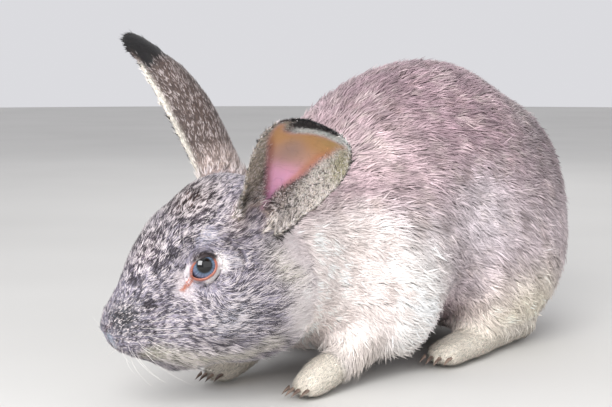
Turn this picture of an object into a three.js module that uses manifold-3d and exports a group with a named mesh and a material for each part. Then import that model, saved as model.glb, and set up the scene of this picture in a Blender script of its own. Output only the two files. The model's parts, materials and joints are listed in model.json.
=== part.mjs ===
// A life-size grey rabbit that grazes in a crouch, as a still model in parted solids.
// Millimetres, +Z up. The nose points towards -Y, the rabbit's left side is +X, and its feet stand on z = 0.
//
// The flesh is one smooth shape, blended from rounded masses. Head, neck and trunk are lengths of one skin
// round one spine, parted by thin flat cuts, and each haunch is cut out of the trunk's side.
import * as THREE from "three";
import { mergeVertices } from "three/addons/utils/BufferGeometryUtils.js";
import Module from "manifold-3d";

const wasm = await Module();
wasm.setup();

// ---------------------------------------------------------------- driving dimensions

const GAP = 0.35; // clear width of every thin cut
const LIMB_GAP = 0.9; // between the limbs and the flesh over them
const FLOOR = 0; // height that the feet stand on

const TRUNK_BLEND = 26; // how softly the trunk's masses run into each other
const HEAD_BLEND = 12;
const NECK_BLEND = 30; // between the head and the trunk
const FOOT_BLEND = 5;

const HEAD_AT = [-3, -214, 88]; // midpoint between the eyes
const HEAD_YAW = -30; // degrees, negative turns the nose to the rabbit's right
const HEAD_PITCH = 32; // positive lowers the nose
const HEAD_ROLL = 1; // positive lowers the left side

const EYE_RADIUS = 9;
const EYE_AT = [22, 0, 0]; // in the head's frame, left eye

const EAR_HALF_WIDTH = 31; // flattened, at the widest
const EAR_WALL = 4.5; // skin and the short fur on both faces, at the root

const TOES = 4;

// ---------------------------------------------------------------- frames and small helpers

const point = (p) => (p.isVector3 ? p.clone() : new THREE.Vector3(...p));
const radians = THREE.MathUtils.degToRad;

// A frame placed at a point and turned by roll about Y, then pitch about X, then yaw about Z.
function frameAt(at, yaw = 0, pitch = 0, roll = 0) {
  const turn = new THREE.Euler(radians(pitch), radians(roll), radians(yaw), "ZXY");
  return new THREE.Matrix4().makeRotationFromEuler(turn).setPosition(point(at));
}

const BODY = new THREE.Matrix4();
const HEAD = frameAt(HEAD_AT, HEAD_YAW, HEAD_PITCH, HEAD_ROLL);
const inHead = (x, y, z) => new THREE.Vector3(x, y, z).applyMatrix4(HEAD);

// ---------------------------------------------------------------- masses and the blended field

// One rounded mass: an ellipsoid in a frame, pitched about X and turned about Z.
function mass(at, radii, { pitch = 0, yaw = 0, roll = 0, frame = BODY } = {}) {
  const place = frame.clone().multiply(frameAt(at, yaw, pitch, roll));
  return { inverse: place.invert(), radii: point(radii) };
}

// The same mass on the left and on the right.
function pair(at, radii, { pitch = 0, yaw = 0, roll = 0, frame = BODY } = {}) {
  const [x, y, z] = at;
  return [
    mass([x, y, z], radii, { pitch, yaw, roll, frame }),
    mass([-x, y, z], radii, { pitch, yaw: -yaw, roll: -roll, frame }),
  ];
}

const local = new THREE.Vector3();
// Close to the distance from a mass's surface, negative inside.
function toMass({ inverse, radii }, p) {
  local.copy(p).applyMatrix4(inverse).divide(radii);
  const reach = local.length();
  const slope = local.divide(radii).length();
  return slope < 1e-9 ? -Math.min(radii.x, radii.y, radii.z) : (reach * (reach - 1)) / slope;
}

// The smaller of two distances, rounded off where they are within blend of each other.
function blended(a, b, blend) {
  const h = Math.max(blend - Math.abs(a - b), 0) / blend;
  return Math.min(a, b) - h * h * blend * 0.25;
}

const toMasses = (masses, blend, p) =>
  masses.reduce((nearest, m) => blended(nearest, toMass(m, p), blend), 1e3);

const TRUNK_MASSES = [
  mass([0, 112, 99], [68, 62, 80]), // rump
  mass([0, 33, 116], [76, 92, 88]), // loin, the top of the arch
  mass([0, 45, 70], [78, 92, 58]), // belly
  mass([0, -30, 112], [68, 70, 80]), // ribs
  mass([0, -66, 112], [44, 54, 50]), // withers
  mass([-4, -104, 61], [44, 44, 46]), // chest
  mass([5, -136, 92], [40, 50, 42], { yaw: 8, pitch: 12 }), // neck
  ...pair([53, 74, 66], [34, 57, 58], { yaw: 6 }), // thighs
  ...pair([60, 30, 48], [22, 32, 36]), // knees
  ...pair([45, -70, 63], [30, 42, 55]), // shoulders
];

const HEAD_MASSES = [
  mass([0, 24, 8], [29, 36, 30], { frame: HEAD }), // cranium
  mass([0, -5, 9], [23, 29, 22], { frame: HEAD }), // forehead
  ...pair([16, -1, 12], [11, 18, 12], { frame: HEAD }), // brows
  mass([0, -27, 1], [15, 33, 16], { pitch: 16, frame: HEAD }), // bridge of the nose
  mass([0, -41, -12], [15, 19, 17], { frame: HEAD }), // muzzle
  ...pair([8, -47, -18], [10, 12, 12], { frame: HEAD }), // upper lips
  mass([0, -53, -7], [8, 8, 8], { frame: HEAD }), // nose
  ...pair([16, 4, -30], [18, 33, 30], { frame: HEAD }), // cheeks
  mass([0, -16, -42], [17, 34, 18], { pitch: -10, frame: HEAD }), // jaw
  mass([0, 20, -50], [28, 36, 30], { frame: HEAD }), // throat
];

function flesh(p) {
  const head = toMasses(HEAD_MASSES, HEAD_BLEND, p);
  const trunk = toMasses(TRUNK_MASSES, TRUNK_BLEND, p);
  return blended(head, trunk, NECK_BLEND);
}

// ---------------------------------------------------------------- surfaces from the field

const MARCH_STEP = 2.5;
const MARCH_REACH = 220;
const HALVINGS = 14;

// Where a ray from inside the field first leaves it.
function surfaceAlong(field, origin, direction, grow = 0) {
  const at = (r) => field(new THREE.Vector3().copy(direction).multiplyScalar(r).add(origin)) - grow;
  let near = 0;
  let far = MARCH_STEP;
  while (far < MARCH_REACH && at(far) < 0) {
    near = far;
    far += MARCH_STEP;
  }
  for (let i = 0; i < HALVINGS; i++) {
    const middle = (near + far) / 2;
    if (at(middle) < 0) near = middle;
    else far = middle;
  }
  return new THREE.Vector3().copy(direction).multiplyScalar(near).add(origin);
}

// A closed mesh from rings of equal length, with one point closing each end.
function closedRings(rings, first, last) {
  const sides = rings[0].length;
  const points = [...rings.flat(), first, last];
  const start = points.length - 2;
  const end = points.length - 1;
  const index = [];
  for (let i = 0; i < sides; i++) {
    const j = (i + 1) % sides;
    index.push(start, j, i);
    for (let r = 0; r + 1 < rings.length; r++) {
      const a = r * sides;
      const b = a + sides;
      index.push(a + i, a + j, b + j, a + i, b + j, b + i);
    }
    const top = (rings.length - 1) * sides;
    index.push(end, top + i, top + j);
  }
  const geometry = new THREE.BufferGeometry().setFromPoints(points).setIndex(index);
  return volumeOf(geometry) < 0 ? insideOut(geometry) : geometry;
}

function volumeOf(geometry) {
  const place = geometry.getAttribute("position");
  const [a, b, c] = [new THREE.Vector3(), new THREE.Vector3(), new THREE.Vector3()];
  let volume = 0;
  for (let i = 0; i < geometry.index.count; i += 3) {
    [a, b, c].forEach((v, k) => v.fromBufferAttribute(place, geometry.index.getX(i + k)));
    volume += a.dot(b.cross(c)) / 6;
  }
  return volume;
}

function insideOut(geometry) {
  return geometry.setIndex(Array.from(geometry.index.array).reverse());
}

// A length of skin round a spine. Rays leave the spine across it, and at a rounded end they fan out from its
// last point. An end with no fan is a flat face across the spine.
function sweep(field, spine, { from = 0, to = 1, rings, sides, startFan = 0, endFan = 0, grow = 0 }) {
  const across = (t) => {
    const ahead = spine.getTangentAt(t);
    const side = new THREE.Vector3(0, 0, 1).cross(ahead).normalize();
    const up = new THREE.Vector3().crossVectors(ahead, side);
    return { origin: spine.getPointAt(t), ahead, side, up };
  };
  const ring = ({ origin, ahead, side, up }, tilt) =>
    Array.from({ length: sides }, (_, i) => {
      const turn = (2 * Math.PI * i) / sides;
      const out = new THREE.Vector3()
        .addScaledVector(side, Math.cos(turn) * Math.cos(tilt))
        .addScaledVector(up, Math.sin(turn) * Math.cos(tilt))
        .addScaledVector(ahead, Math.sin(tilt));
      return surfaceAlong(field, origin, out, grow);
    });
  const list = [];
  const start = across(from);
  const end = across(to);
  for (let k = startFan; k > 0; k--) list.push(ring(start, (-Math.PI / 2) * (k / (startFan + 1))));
  for (let k = 0; k < rings; k++) list.push(ring(across(from + ((to - from) * k) / (rings - 1)), 0));
  for (let k = 1; k <= endFan; k++) list.push(ring(end, (Math.PI / 2) * (k / (endFan + 1))));
  const back = start.ahead.clone().negate();
  return closedRings(
    list,
    startFan ? surfaceAlong(field, start.origin, back, grow) : start.origin,
    endFan ? surfaceAlong(field, end.origin, end.ahead, grow) : end.origin,
  );
}

// ---------------------------------------------------------------- joining and cutting

// A copy with nothing but places, so that equal corners can be merged.
function stripped(geometry) {
  const bare = geometry.clone();
  bare.deleteAttribute("normal");
  bare.deleteAttribute("uv");
  return bare;
}

function toSolid(geometry) {
  const merged = mergeVertices(stripped(geometry), 1e-3);
  return new wasm.Manifold(
    new wasm.Mesh({
      numProp: 3,
      vertProperties: new Float32Array(merged.getAttribute("position").array),
      triVerts: new Uint32Array(merged.index.array),
    }),
  );
}

function toGeometry(solid) {
  const mesh = solid.getMesh();
  return new THREE.BufferGeometry()
    .setAttribute("position", new THREE.BufferAttribute(mesh.vertProperties, 3))
    .setIndex(new THREE.BufferAttribute(mesh.triVerts, 1))
    .toNonIndexed();
}

// The largest piece of a cut solid, without the crumbs that a grazing cut can leave.
const mainPiece = (solid) =>
  solid.decompose().reduce((most, piece) => (piece.volume() > most.volume() ? piece : most));

// ---------------------------------------------------------------- head, neck and trunk

const SPINE = new THREE.CatmullRomCurve3(
  [
    inHead(0, -34, -8), // muzzle
    inHead(0, 2, -6), // between the eyes
    point([8, -178, 98]), // nape
    point([9, -138, 101]), // neck
    point([2, -90, 102]), // over the shoulders
    point([0, -10, 104]), // chest
    point([0, 60, 104]), // loin
    point([0, 104, 90]), // rump
  ],
  false,
  "centripetal",
);
const SPINE_LENGTH = SPINE.getLength();
const NAPE = 0.235; // share of the spine from the muzzle to the cut behind the skull
const WITHERS = 0.40; // to the cut before the shoulders
const HALF_GAP = GAP / 2 / SPINE_LENGTH;

// Each length of the skin round the spine. A grown one also runs past its cuts, so that it clears its neighbours.
function bodyLength(from, to, grow, shape) {
  const past = grow ? 2 * HALF_GAP : -HALF_GAP;
  const reach = { from: from ? from - past : 0, to: to < 1 ? to + past : 1 };
  return toSolid(sweep(flesh, SPINE, { ...reach, ...shape, grow }));
}
const headWhole = (grow = 0) => bodyLength(0, NAPE, grow, { rings: 17, sides: 28, startFan: 4 });
const neckWhole = (grow = 0) => bodyLength(NAPE, WITHERS, grow, { rings: 6, sides: 28 });
const trunkWhole = (grow = 0) => bodyLength(WITHERS, 1, grow, { rings: 16, sides: 30, endFan: 5 });

// ---------------------------------------------------------------- ears

// A curve through named heights along the ear: [share of its length, value].
function along(...stops) {
  const curve = new THREE.CatmullRomCurve3(
    stops.map(([t, value]) => new THREE.Vector3(t, value, 0)),
    false,
    "centripetal",
  );
  const samples = curve.getPoints(200);
  return (t) => {
    const i = samples.findIndex((s, k) => k > 0 && s.x >= t);
    if (i < 0) return samples.at(-1).y;
    const [a, b] = [samples[i - 1], samples[i]];
    return THREE.MathUtils.lerp(a.y, b.y, (t - a.x) / Math.max(b.x - a.x, 1e-6));
  };
}

const EAR_RINGS = 15;
const EAR_ARC = 10; // steps across the wall
// Half the flattened width, as a share of the widest, at heights from root to tip.
const earWidth = along([0, 0.9], [0.2, 0.94], [0.45, 1], [0.7, 0.9], [0.88, 0.62], [0.97, 0.3], [1, 0.12]);

// Each ear in the head's frame: the route of its back from root to tip, the way its hollow faces, and half the
// angle that it curls through at the root, middle and tip.
const EARS = {
  left: {
    route: [[20, 47, 6], [47, 54, 20], [73, 60, 34], [98, 63, 47], [122, 64, 59]],
    faces: [0.45, -0.79, -0.41],
    curl: [115, 72, 45],
  },
  right: {
    route: [[-15, 50, 5], [-27, 59, 34], [-41, 65, 67], [-56, 63, 96], [-69, 55, 113]],
    faces: [-0.75, -0.65, 0],
    curl: [115, 80, 45],
  },
};

// A shell with a C-shaped section, lofted along the ear's route.
function earShell({ route, faces, curl: [root, middle, tip] }) {
  const spine = new THREE.CatmullRomCurve3(route.map(point), false, "centripetal");
  const curl = along([0, root], [0.18, (root + middle) / 2], [0.5, middle], [1, tip]);
  const rings = Array.from({ length: EAR_RINGS }, (_, k) => {
    const t = Math.sin((Math.PI / 2) * (k / (EAR_RINGS - 1)));
    const up = spine.getTangentAt(t);
    const side = point(faces).negate().cross(up).normalize();
    const back = new THREE.Vector3().crossVectors(up, side);
    const angle = radians(curl(t));
    const radius = (EAR_HALF_WIDTH * earWidth(t)) / angle;
    const wall = Math.min(EAR_WALL * (1 - 0.35 * t), radius * 0.7);
    const at = (r, turn) =>
      spine
        .getPointAt(t)
        .addScaledVector(side, r * Math.sin(turn))
        .addScaledVector(back, r * Math.cos(turn) - radius * 0.75);
    const outer = [];
    const inner = [];
    for (let i = 0; i <= EAR_ARC; i++) {
      const turn = angle * ((2 * i) / EAR_ARC - 1);
      outer.push(at(radius, turn));
      inner.unshift(at(radius - wall, turn));
    }
    return [...outer, ...inner];
  });
  const middleOf = (ring) => ring[EAR_ARC / 2].clone().lerp(ring[EAR_ARC + 1 + EAR_ARC / 2], 0.5);
  return closedRings(rings, middleOf(rings[0]), middleOf(rings.at(-1)));
}

const earWhole = (ear) => toSolid(earShell(ear).applyMatrix4(HEAD));

// ---------------------------------------------------------------- legs, feet and tail

// A limb or tail: masses along a path, skinned by rays from the path, flat where it meets the floor.
function limb(masses, path, { rings = 8, sides = 14, fan = 2, blend = FOOT_BLEND, grow = 0 } = {}) {
  const field = (p) => Math.max(toMasses(masses, blend, p), FLOOR - p.z);
  const spine = new THREE.CatmullRomCurve3(path.map(point), false, "centripetal");
  return toSolid(sweep(field, spine, { rings, sides, startFan: fan, endFan: fan, grow }));
}

const HIND_FOOT = { heel: [56, 74, 14], toes: [58, -28, 9], width: 16 };
const FORE_PAW = { heel: [36, -118, 18], toes: [34, -150, 8], width: 12.5 };
const ELBOW = [46, -66, 40];

const mirrored = ([x, y, z], side) => [x * side, y, z];
const mixed = (a, b, t) => a.map((v, i) => THREE.MathUtils.lerp(v, b[i], t));
const footAt = ({ heel, toes }, side, t) => mixed(mirrored(heel, side), mirrored(toes, side), t);

// The middle of each toe, fanned across the front of a foot, and the level way that the foot points.
function toesOf(foot, side) {
  const front = footAt(foot, side, 1);
  const back = footAt(foot, side, 0);
  const ahead = new THREE.Vector3(front[0] - back[0], front[1] - back[1], 0).normalize();
  const across = new THREE.Vector3(0, 0, 1).cross(ahead);
  return Array.from({ length: TOES }, (_, i) => {
    const share = (2 * (i + 0.5)) / TOES - 1;
    const at = point(front).addScaledVector(across, share * foot.width * 0.74);
    return { at: at.addScaledVector(ahead, -5 * share * share), ahead };
  });
}

function hindFoot(side, grow = 0) {
  const { width } = HIND_FOOT;
  const masses = [
    mass(footAt(HIND_FOOT, side, 0), [15, 20, 15]),
    mass(footAt(HIND_FOOT, side, 0.3), [15, 34, 14]),
    mass(footAt(HIND_FOOT, side, 0.7), [width, 34, 13]),
    ...toesOf(HIND_FOOT, side).map(({ at }) => mass(at.toArray(), [5.5, 15, 9.5])),
  ];
  return limb(masses, [0.02, 0.5, 0.98].map((t) => footAt(HIND_FOOT, side, t)), { grow });
}

function forePaw(side, grow = 0) {
  const masses = [
    mass(footAt(FORE_PAW, side, 0), [12, 15, 14]),
    mass(footAt(FORE_PAW, side, 0.5), [12.5, 20, 13]),
    ...toesOf(FORE_PAW, side).map(({ at }) => mass(at.toArray(), [4.5, 11, 8.5])),
  ];
  return limb(masses, [0.02, 0.98].map((t) => footAt(FORE_PAW, side, t)), { rings: 6, grow });
}

function foreLeg(side, grow = 0) {
  const elbow = mirrored(ELBOW, side);
  const wrist = footAt(FORE_PAW, side, 0.05);
  const masses = [
    mass(elbow, [19, 22, 22]),
    mass(mixed(elbow, wrist, 0.45), [15, 30, 17], { pitch: 22 }),
    mass(wrist, [12, 14, 14]),
  ];
  return limb(masses, [mixed(elbow, wrist, 0.05), mixed(elbow, wrist, 0.9)], { rings: 7, grow });
}

// A claw: a cone that curves down from inside its toe.
const CLAW_RADIUS = 1.7;
const CLAW_LENGTH = 11;
const CLAW_DROP = 3.6; // from root to tip
const CLAW_SIDES = 6;
const CLAW_STEPS = 3;
function clawWhole({ at, ahead }, reach) {
  const across = new THREE.Vector3(0, 0, 1).cross(ahead);
  const centre = (t) => {
    const place = at.clone().addScaledVector(ahead, reach + CLAW_LENGTH * t);
    place.z -= CLAW_DROP * t * t;
    return place;
  };
  const rings = Array.from({ length: CLAW_STEPS }, (_, k) => {
    const t = k / CLAW_STEPS;
    const radius = CLAW_RADIUS * (1 - 0.75 * t);
    return Array.from({ length: CLAW_SIDES }, (_, i) => {
      const turn = (2 * Math.PI * i) / CLAW_SIDES;
      const rim = centre(t).addScaledVector(across, radius * Math.cos(turn));
      rim.z += radius * Math.sin(turn);
      return rim;
    });
  });
  return toSolid(closedRings(rings, centre(0), centre(1)));
}

const TAIL = { root: [4, 158, 88], tuft: [12, 171, 62], tip: [14, 167, 42] };

function tailWhole() {
  const { root, tuft, tip } = TAIL;
  const masses = [mass(root, [15, 16, 20]), mass(tuft, [18, 16, 26]), mass(tip, [14, 13, 18])];
  return limb(masses, [root, tip], { rings: 7, fan: 3, blend: 10 });
}

// ---------------------------------------------------------------- haunches

const HAUNCH = { middle: [74, 62], reach: [58, 56], inner: 44, outer: 130 };

// The block of space that a haunch is cut out of the trunk with: an oval seen from the side, pushed out sideways.
function haunchBlock(side, grow = 0) {
  const [y, z] = HAUNCH.middle;
  const [alongBody, upright] = HAUNCH.reach;
  const oval = new THREE.Shape().absellipse(y, z, alongBody + grow, upright + grow, 0, 2 * Math.PI, false, 0);
  const depth = HAUNCH.outer - HAUNCH.inner + grow;
  const block = new THREE.ExtrudeGeometry(oval, { depth, bevelEnabled: false, curveSegments: 24 });
  const axes = new THREE.Matrix4().makeBasis(
    new THREE.Vector3(0, 1, 0),
    new THREE.Vector3(0, 0, 1),
    new THREE.Vector3(1, 0, 0),
  );
  block.applyMatrix4(axes).translate(HAUNCH.inner - grow, 0, 0);
  if (side < 0) block.scale(-1, 1, 1);
  const solid = mergeVertices(stripped(block), 1e-3);
  return toSolid(volumeOf(solid) < 0 ? insideOut(solid) : solid);
}

// ---------------------------------------------------------------- materials

const finish = (color, roughness) => new THREE.MeshStandardMaterial({ color, roughness, metalness: 0 });
const FUR = finish(0xa39a98, 0.9);
const PALE_FUR = finish(0xd9d2cb, 0.9);
const EAR_SKIN = finish(0xc79a90, 0.7);
const EYE = finish(0x2c3038, 0.08);
const CLAW = finish(0x6a5c52, 0.5);

// ---------------------------------------------------------------- the rabbit

const rabbit = new THREE.Group();
rabbit.name = "rabbit";

function add(name, solid, material) {
  const mesh = new THREE.Mesh(toGeometry(mainPiece(solid)), material);
  mesh.name = name;
  mesh.geometry.computeVertexNormals();
  rabbit.add(mesh);
}

const SIDES = { left: 1, right: -1 };

// Eyeballs, and the same a gap larger to seat them in the head.
function eyeBall(side, grow = 0) {
  const at = inHead(EYE_AT[0] * side, EYE_AT[1], EYE_AT[2]);
  const ball = new THREE.SphereGeometry(EYE_RADIUS + grow, 14, 9);
  return toSolid(ball.translate(at.x, at.y, at.z));
}

// Adds a foot and its claws, which stand on the toes.
function addFoot(name, foot, { of, side, reach, clear }) {
  const grown = foot(side, GAP);
  toesOf(of, side).forEach((toe, i) => {
    add(`${name}_claw_${i + 1}`, clawWhole(toe, reach).subtract(grown), CLAW);
  });
  add(name, foot(side).subtract(clear), PALE_FUR);
}

let head = headWhole();
let trunk = trunkWhole();
const headAndNeckGrown = headWhole(GAP).add(neckWhole(GAP));
const bodyGrown = headWhole(LIMB_GAP).add(neckWhole(LIMB_GAP)).add(trunkWhole(LIMB_GAP));

for (const [name, side] of Object.entries(SIDES)) {
  add(`eye_${name}`, eyeBall(side), EYE);
  head = head.subtract(eyeBall(side, GAP));
  add(`ear_${name}`, earWhole(EARS[name]).subtract(headAndNeckGrown), EAR_SKIN);
  add(`haunch_${name}`, trunk.intersect(haunchBlock(side)), FUR);
  trunk = trunk.subtract(haunchBlock(side, GAP));
  const legGrown = foreLeg(side, GAP);
  add(`fore_leg_${name}`, foreLeg(side).subtract(bodyGrown), PALE_FUR);
  addFoot(`fore_paw_${name}`, forePaw, { of: FORE_PAW, side, reach: 8, clear: bodyGrown.add(legGrown) });
  addFoot(`hind_foot_${name}`, hindFoot, { of: HIND_FOOT, side, reach: 12, clear: bodyGrown });
}
add("head", head, FUR);
add("neck", neckWhole(), FUR);
add("tail", tailWhole().subtract(bodyGrown), FUR);
add("trunk", trunk, FUR);

// It stands at the middle of the box that holds it.
const box = new THREE.Box3().setFromObject(rabbit);
const centre = box.getCenter(new THREE.Vector3());
rabbit.children.forEach((mesh) => mesh.geometry.translate(-centre.x, -centre.y, -box.min.z));

export default rabbit;
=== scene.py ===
# %% [markdown]
# # A grey rabbit, grazing
#
# This lesson dresses a life-size rabbit. The solid parts (head, neck, trunk, legs, ears, eyes and
# claws) come packed, in metres, with the nose towards -Y and the feet on z = 0. They say how big the
# animal is and where everything sits. What is made here is all that the eye sees: one skin without
# seams, the coat over it, the eyes with their lids, the whiskers, and the light.

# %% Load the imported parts
import itertools
import json
import math

import bpy
import numpy as np
from mathutils import Matrix, Vector
from mathutils.bvhtree import BVHTree

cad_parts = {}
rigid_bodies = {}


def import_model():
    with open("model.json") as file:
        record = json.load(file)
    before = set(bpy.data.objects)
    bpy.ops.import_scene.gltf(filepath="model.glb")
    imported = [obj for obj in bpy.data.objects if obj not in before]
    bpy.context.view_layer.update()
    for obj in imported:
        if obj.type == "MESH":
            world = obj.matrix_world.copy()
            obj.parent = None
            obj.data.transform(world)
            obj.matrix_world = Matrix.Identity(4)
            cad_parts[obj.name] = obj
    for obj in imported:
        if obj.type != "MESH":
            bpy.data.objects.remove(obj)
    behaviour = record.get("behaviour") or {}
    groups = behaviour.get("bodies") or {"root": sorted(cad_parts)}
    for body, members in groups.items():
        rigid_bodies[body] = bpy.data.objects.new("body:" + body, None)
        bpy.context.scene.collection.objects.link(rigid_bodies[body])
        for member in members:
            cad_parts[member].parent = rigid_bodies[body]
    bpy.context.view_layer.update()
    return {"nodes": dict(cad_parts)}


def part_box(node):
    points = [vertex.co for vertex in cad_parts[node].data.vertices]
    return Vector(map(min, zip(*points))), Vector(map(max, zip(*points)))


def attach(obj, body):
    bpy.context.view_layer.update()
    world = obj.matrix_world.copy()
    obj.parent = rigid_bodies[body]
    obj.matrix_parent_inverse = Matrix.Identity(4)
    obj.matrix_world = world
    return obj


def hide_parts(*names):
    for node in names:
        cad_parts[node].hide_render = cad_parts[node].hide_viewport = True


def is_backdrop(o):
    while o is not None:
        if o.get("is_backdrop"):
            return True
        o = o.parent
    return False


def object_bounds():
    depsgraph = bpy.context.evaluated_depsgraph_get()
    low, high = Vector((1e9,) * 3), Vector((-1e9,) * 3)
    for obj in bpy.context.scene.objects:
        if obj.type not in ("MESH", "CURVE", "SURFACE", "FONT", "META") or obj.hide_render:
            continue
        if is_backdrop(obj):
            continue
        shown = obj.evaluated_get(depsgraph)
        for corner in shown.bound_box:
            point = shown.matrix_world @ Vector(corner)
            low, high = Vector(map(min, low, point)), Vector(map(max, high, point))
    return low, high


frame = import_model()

nodes = frame["nodes"]
FLESH = [name for name in sorted(nodes) if "eye" not in name and "claw" not in name]

# %% [markdown]
# ## The camera
#
# The rabbit is seen from its left, a little in front and from low down, as by somebody who lies on
# the lawn. A long lens from about a metre away keeps the near cheek from looming. The camera is
# placed by the point of the rabbit that it holds at a given place of the picture, which is easier
# to reason about than a position in space.

# %% Camera
PICTURE = (612, 407)  # pixels
SEEN_FROM = math.radians(36)  # round from the nose towards the rabbit's left
SEEN_ABOVE = math.radians(6)
FOCAL_PIXELS = 1378  # focal length, counted in pixels of the picture
SENSOR = 36.0  # mm across
AIM = Vector((-0.0143, 0.0674, 0.100))  # a point inside the loin, in metres
AIM_PIXEL = (418, 203)  # where the picture holds that point
AIM_AWAY = 0.975  # metres from the camera, along its axis
NEAREST, FARTHEST = 0.05, 20  # metres between which the camera sees


def linked(name, data):
    """A new object with this data, put into the scene."""
    piece = bpy.data.objects.new(name, data)
    bpy.context.scene.collection.objects.link(piece)
    return piece


view_right = Vector((math.cos(SEEN_FROM), math.sin(SEEN_FROM), 0))
view_back = Vector(
    (
        math.sin(SEEN_FROM) * math.cos(SEEN_ABOVE),
        -math.cos(SEEN_FROM) * math.cos(SEEN_ABOVE),
        math.sin(SEEN_ABOVE),
    )
)
view_up = view_back.cross(view_right)
off_right = (AIM_PIXEL[0] - PICTURE[0] / 2) / FOCAL_PIXELS * AIM_AWAY
off_up = (PICTURE[1] / 2 - AIM_PIXEL[1]) / FOCAL_PIXELS * AIM_AWAY

lens = bpy.data.cameras.new("camera")
lens.sensor_width = SENSOR
lens.lens = SENSOR * FOCAL_PIXELS / PICTURE[0]
lens.clip_start = NEAREST
lens.clip_end = FARTHEST
camera = linked("camera", lens)
stands_at = AIM - view_right * off_right - view_up * off_up + view_back * AIM_AWAY
camera_turn = Matrix((view_right, view_up, view_back)).transposed().to_4x4()
camera.matrix_world = Matrix.Translation(stands_at) @ camera_turn
bpy.context.scene.camera = camera
print("lens", round(lens.lens, 1), "mm, camera at", [round(v, 3) for v in camera.location])

# %% [markdown]
# ## Two ways of saying where
#
# Most of the body is easy to describe in the room's own axes. The head is not: it is turned to the
# rabbit's right and bent down to the grass. So everything on the face is given in the head's own
# millimetres: x to the rabbit's left, y towards the back of the skull, z to the crown, from the
# point midway between the eyes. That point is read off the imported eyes.

# %% The head's own frame
HEAD_YAW, HEAD_PITCH, HEAD_ROLL = (math.radians(angle) for angle in (-30, 32, 1))
MM = 0.001  # in metres


def middle(name):
    """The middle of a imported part's box, in metres."""
    low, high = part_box(name)
    return (low + high) / 2


head_middle = np.array((middle("eye_left") + middle("eye_right")) / 2)
head_turn = np.array(
    Matrix.Rotation(HEAD_YAW, 3, "Z")
    @ Matrix.Rotation(HEAD_PITCH, 3, "X")
    @ Matrix.Rotation(HEAD_ROLL, 3, "Y")
)


def in_head(points):
    """Room points, in metres, as millimetres in the head's frame."""
    return (np.asarray(points, float) - head_middle) @ head_turn / MM


def from_head(points):
    """Millimetres in the head's frame, as room points in metres."""
    return np.asarray(points, float) @ head_turn.T * MM + head_middle


def turned(directions):
    """Directions of the head's frame, in the room's axes."""
    return np.asarray(directions, float) @ head_turn.T


print("midway between the eyes:", head_middle.round(4))

# %% [markdown]
# ## Small helpers
#
# The coat's colour, length and lie change smoothly over the body. Four little functions say almost
# all of it: a smooth step, a soft spot round a point, the distance from a line, and a patchy noise.
# They all work on thousands of points at once.

# %% Helpers for smooth variation
def length_of(vectors):
    return np.linalg.norm(vectors, axis=-1)


def unit(vectors):
    return vectors / np.maximum(length_of(vectors), 1e-12)[..., None]


def step(low, high, value):
    """0 below low, 1 above high, and smooth between. High may be the smaller one."""
    share = np.clip((value - low) / (high - low), 0, 1)
    return share * share * (3 - 2 * share)


def spot(points, at, reach):
    """1 at a point, fading to 0 at the reach, which may differ along x, y and z."""
    away = length_of((points - np.asarray(at, float)) / np.asarray(reach, float))
    return 1 - step(0.0, 1.0, away)


def line_distance(points, stops):
    """How far each point is from a line through the stops."""
    nearest = np.full(len(points), 1e9)
    for start, end in zip(np.asarray(stops[:-1], float), np.asarray(stops[1:], float)):
        run = end - start
        share = np.clip((points - start) @ run / (run @ run), 0, 1)
        nearest = np.minimum(nearest, length_of(points - start - share[:, None] * run))
    return nearest


def mirrored(points):
    """The left half stands for both: x is taken without its sign."""
    return np.column_stack([np.abs(points[:, 0]), points[:, 1:]])


def scatter(cells, seed):
    """A fixed random number from 0 to 1 for each whole-numbered cell, whose digits are well mixed."""
    x, y, z = (cells[:, axis].astype(np.int64) for axis in range(3))
    mixed = (x * 73856093) ^ (y * 19349663) ^ (z * 83492791) ^ (seed * 2654435761)
    mixed = ((mixed ^ (mixed >> 13)) * 1274126177) & 0xFFFFFFFF
    mixed = ((mixed ^ (mixed >> 15)) * 2246822519) & 0xFFFFFFFF
    return ((mixed ^ (mixed >> 16)) & 0xFFFFFF) / 0xFFFFFF


def patches(points, size, seed):
    """Smooth noise from -1 to 1, in patches of about a size."""
    at = points / size
    cell = np.floor(at)
    share = at - cell
    share = share * share * (3 - 2 * share)
    total = np.zeros(len(points))
    for corner in itertools.product((0, 1), repeat=3):
        weight = np.prod(np.where(corner, share, 1 - share), axis=1)
        total += weight * scatter(cell + corner, seed)
    return 2 * total - 1


def colour(code):
    """A colour written as on a paint card, for example 9a8c92, in linear light."""
    parts = np.array([int(code[i : i + 2], 16) for i in (0, 2, 4)]) / 255
    return np.where(parts <= 0.04045, parts / 12.92, ((parts + 0.055) / 1.055) ** 2.4)


def toward(base, other, share):
    """A row of colours moved part of the way to another colour."""
    return base + (other - base) * np.clip(share, 0, 1)[:, None]


# %% [markdown]
# ## One skin
#
# Under the fur a rabbit has one skin with no seam anywhere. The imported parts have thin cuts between
# them and flat facets. To make one skin of them, each part is copied, its loose triangles are merged,
# and it is swollen by a hair's breadth or so, which closes the cuts. Then a voxel remesh casts one new
# surface round them all, like a plaster skin. It keeps the outline and forgets the seams.

# %% Copies of the parts, joined
SWELL = 0.0006  # metres, closes the cuts between the parts
FINE = 0.0021  # metres, the size of the new skin's squares
SAME_PLACE = 0.00001  # metres between corners that are merged


def only(*objects):
    """Selects these objects and nothing else."""
    if bpy.context.object and bpy.context.object.mode != "OBJECT":
        bpy.ops.object.mode_set(mode="OBJECT")
    bpy.ops.object.select_all(action="DESELECT")
    for piece in objects:
        piece.select_set(True)
    bpy.context.view_layer.objects.active = objects[0]


def edit_whole(piece, operator, **settings):
    """Runs an operator of edit mode on all of a piece."""
    only(piece)
    bpy.ops.object.mode_set(mode="EDIT")
    bpy.ops.mesh.select_all(action="SELECT")
    operator(**settings)
    bpy.ops.object.mode_set(mode="OBJECT")


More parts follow.
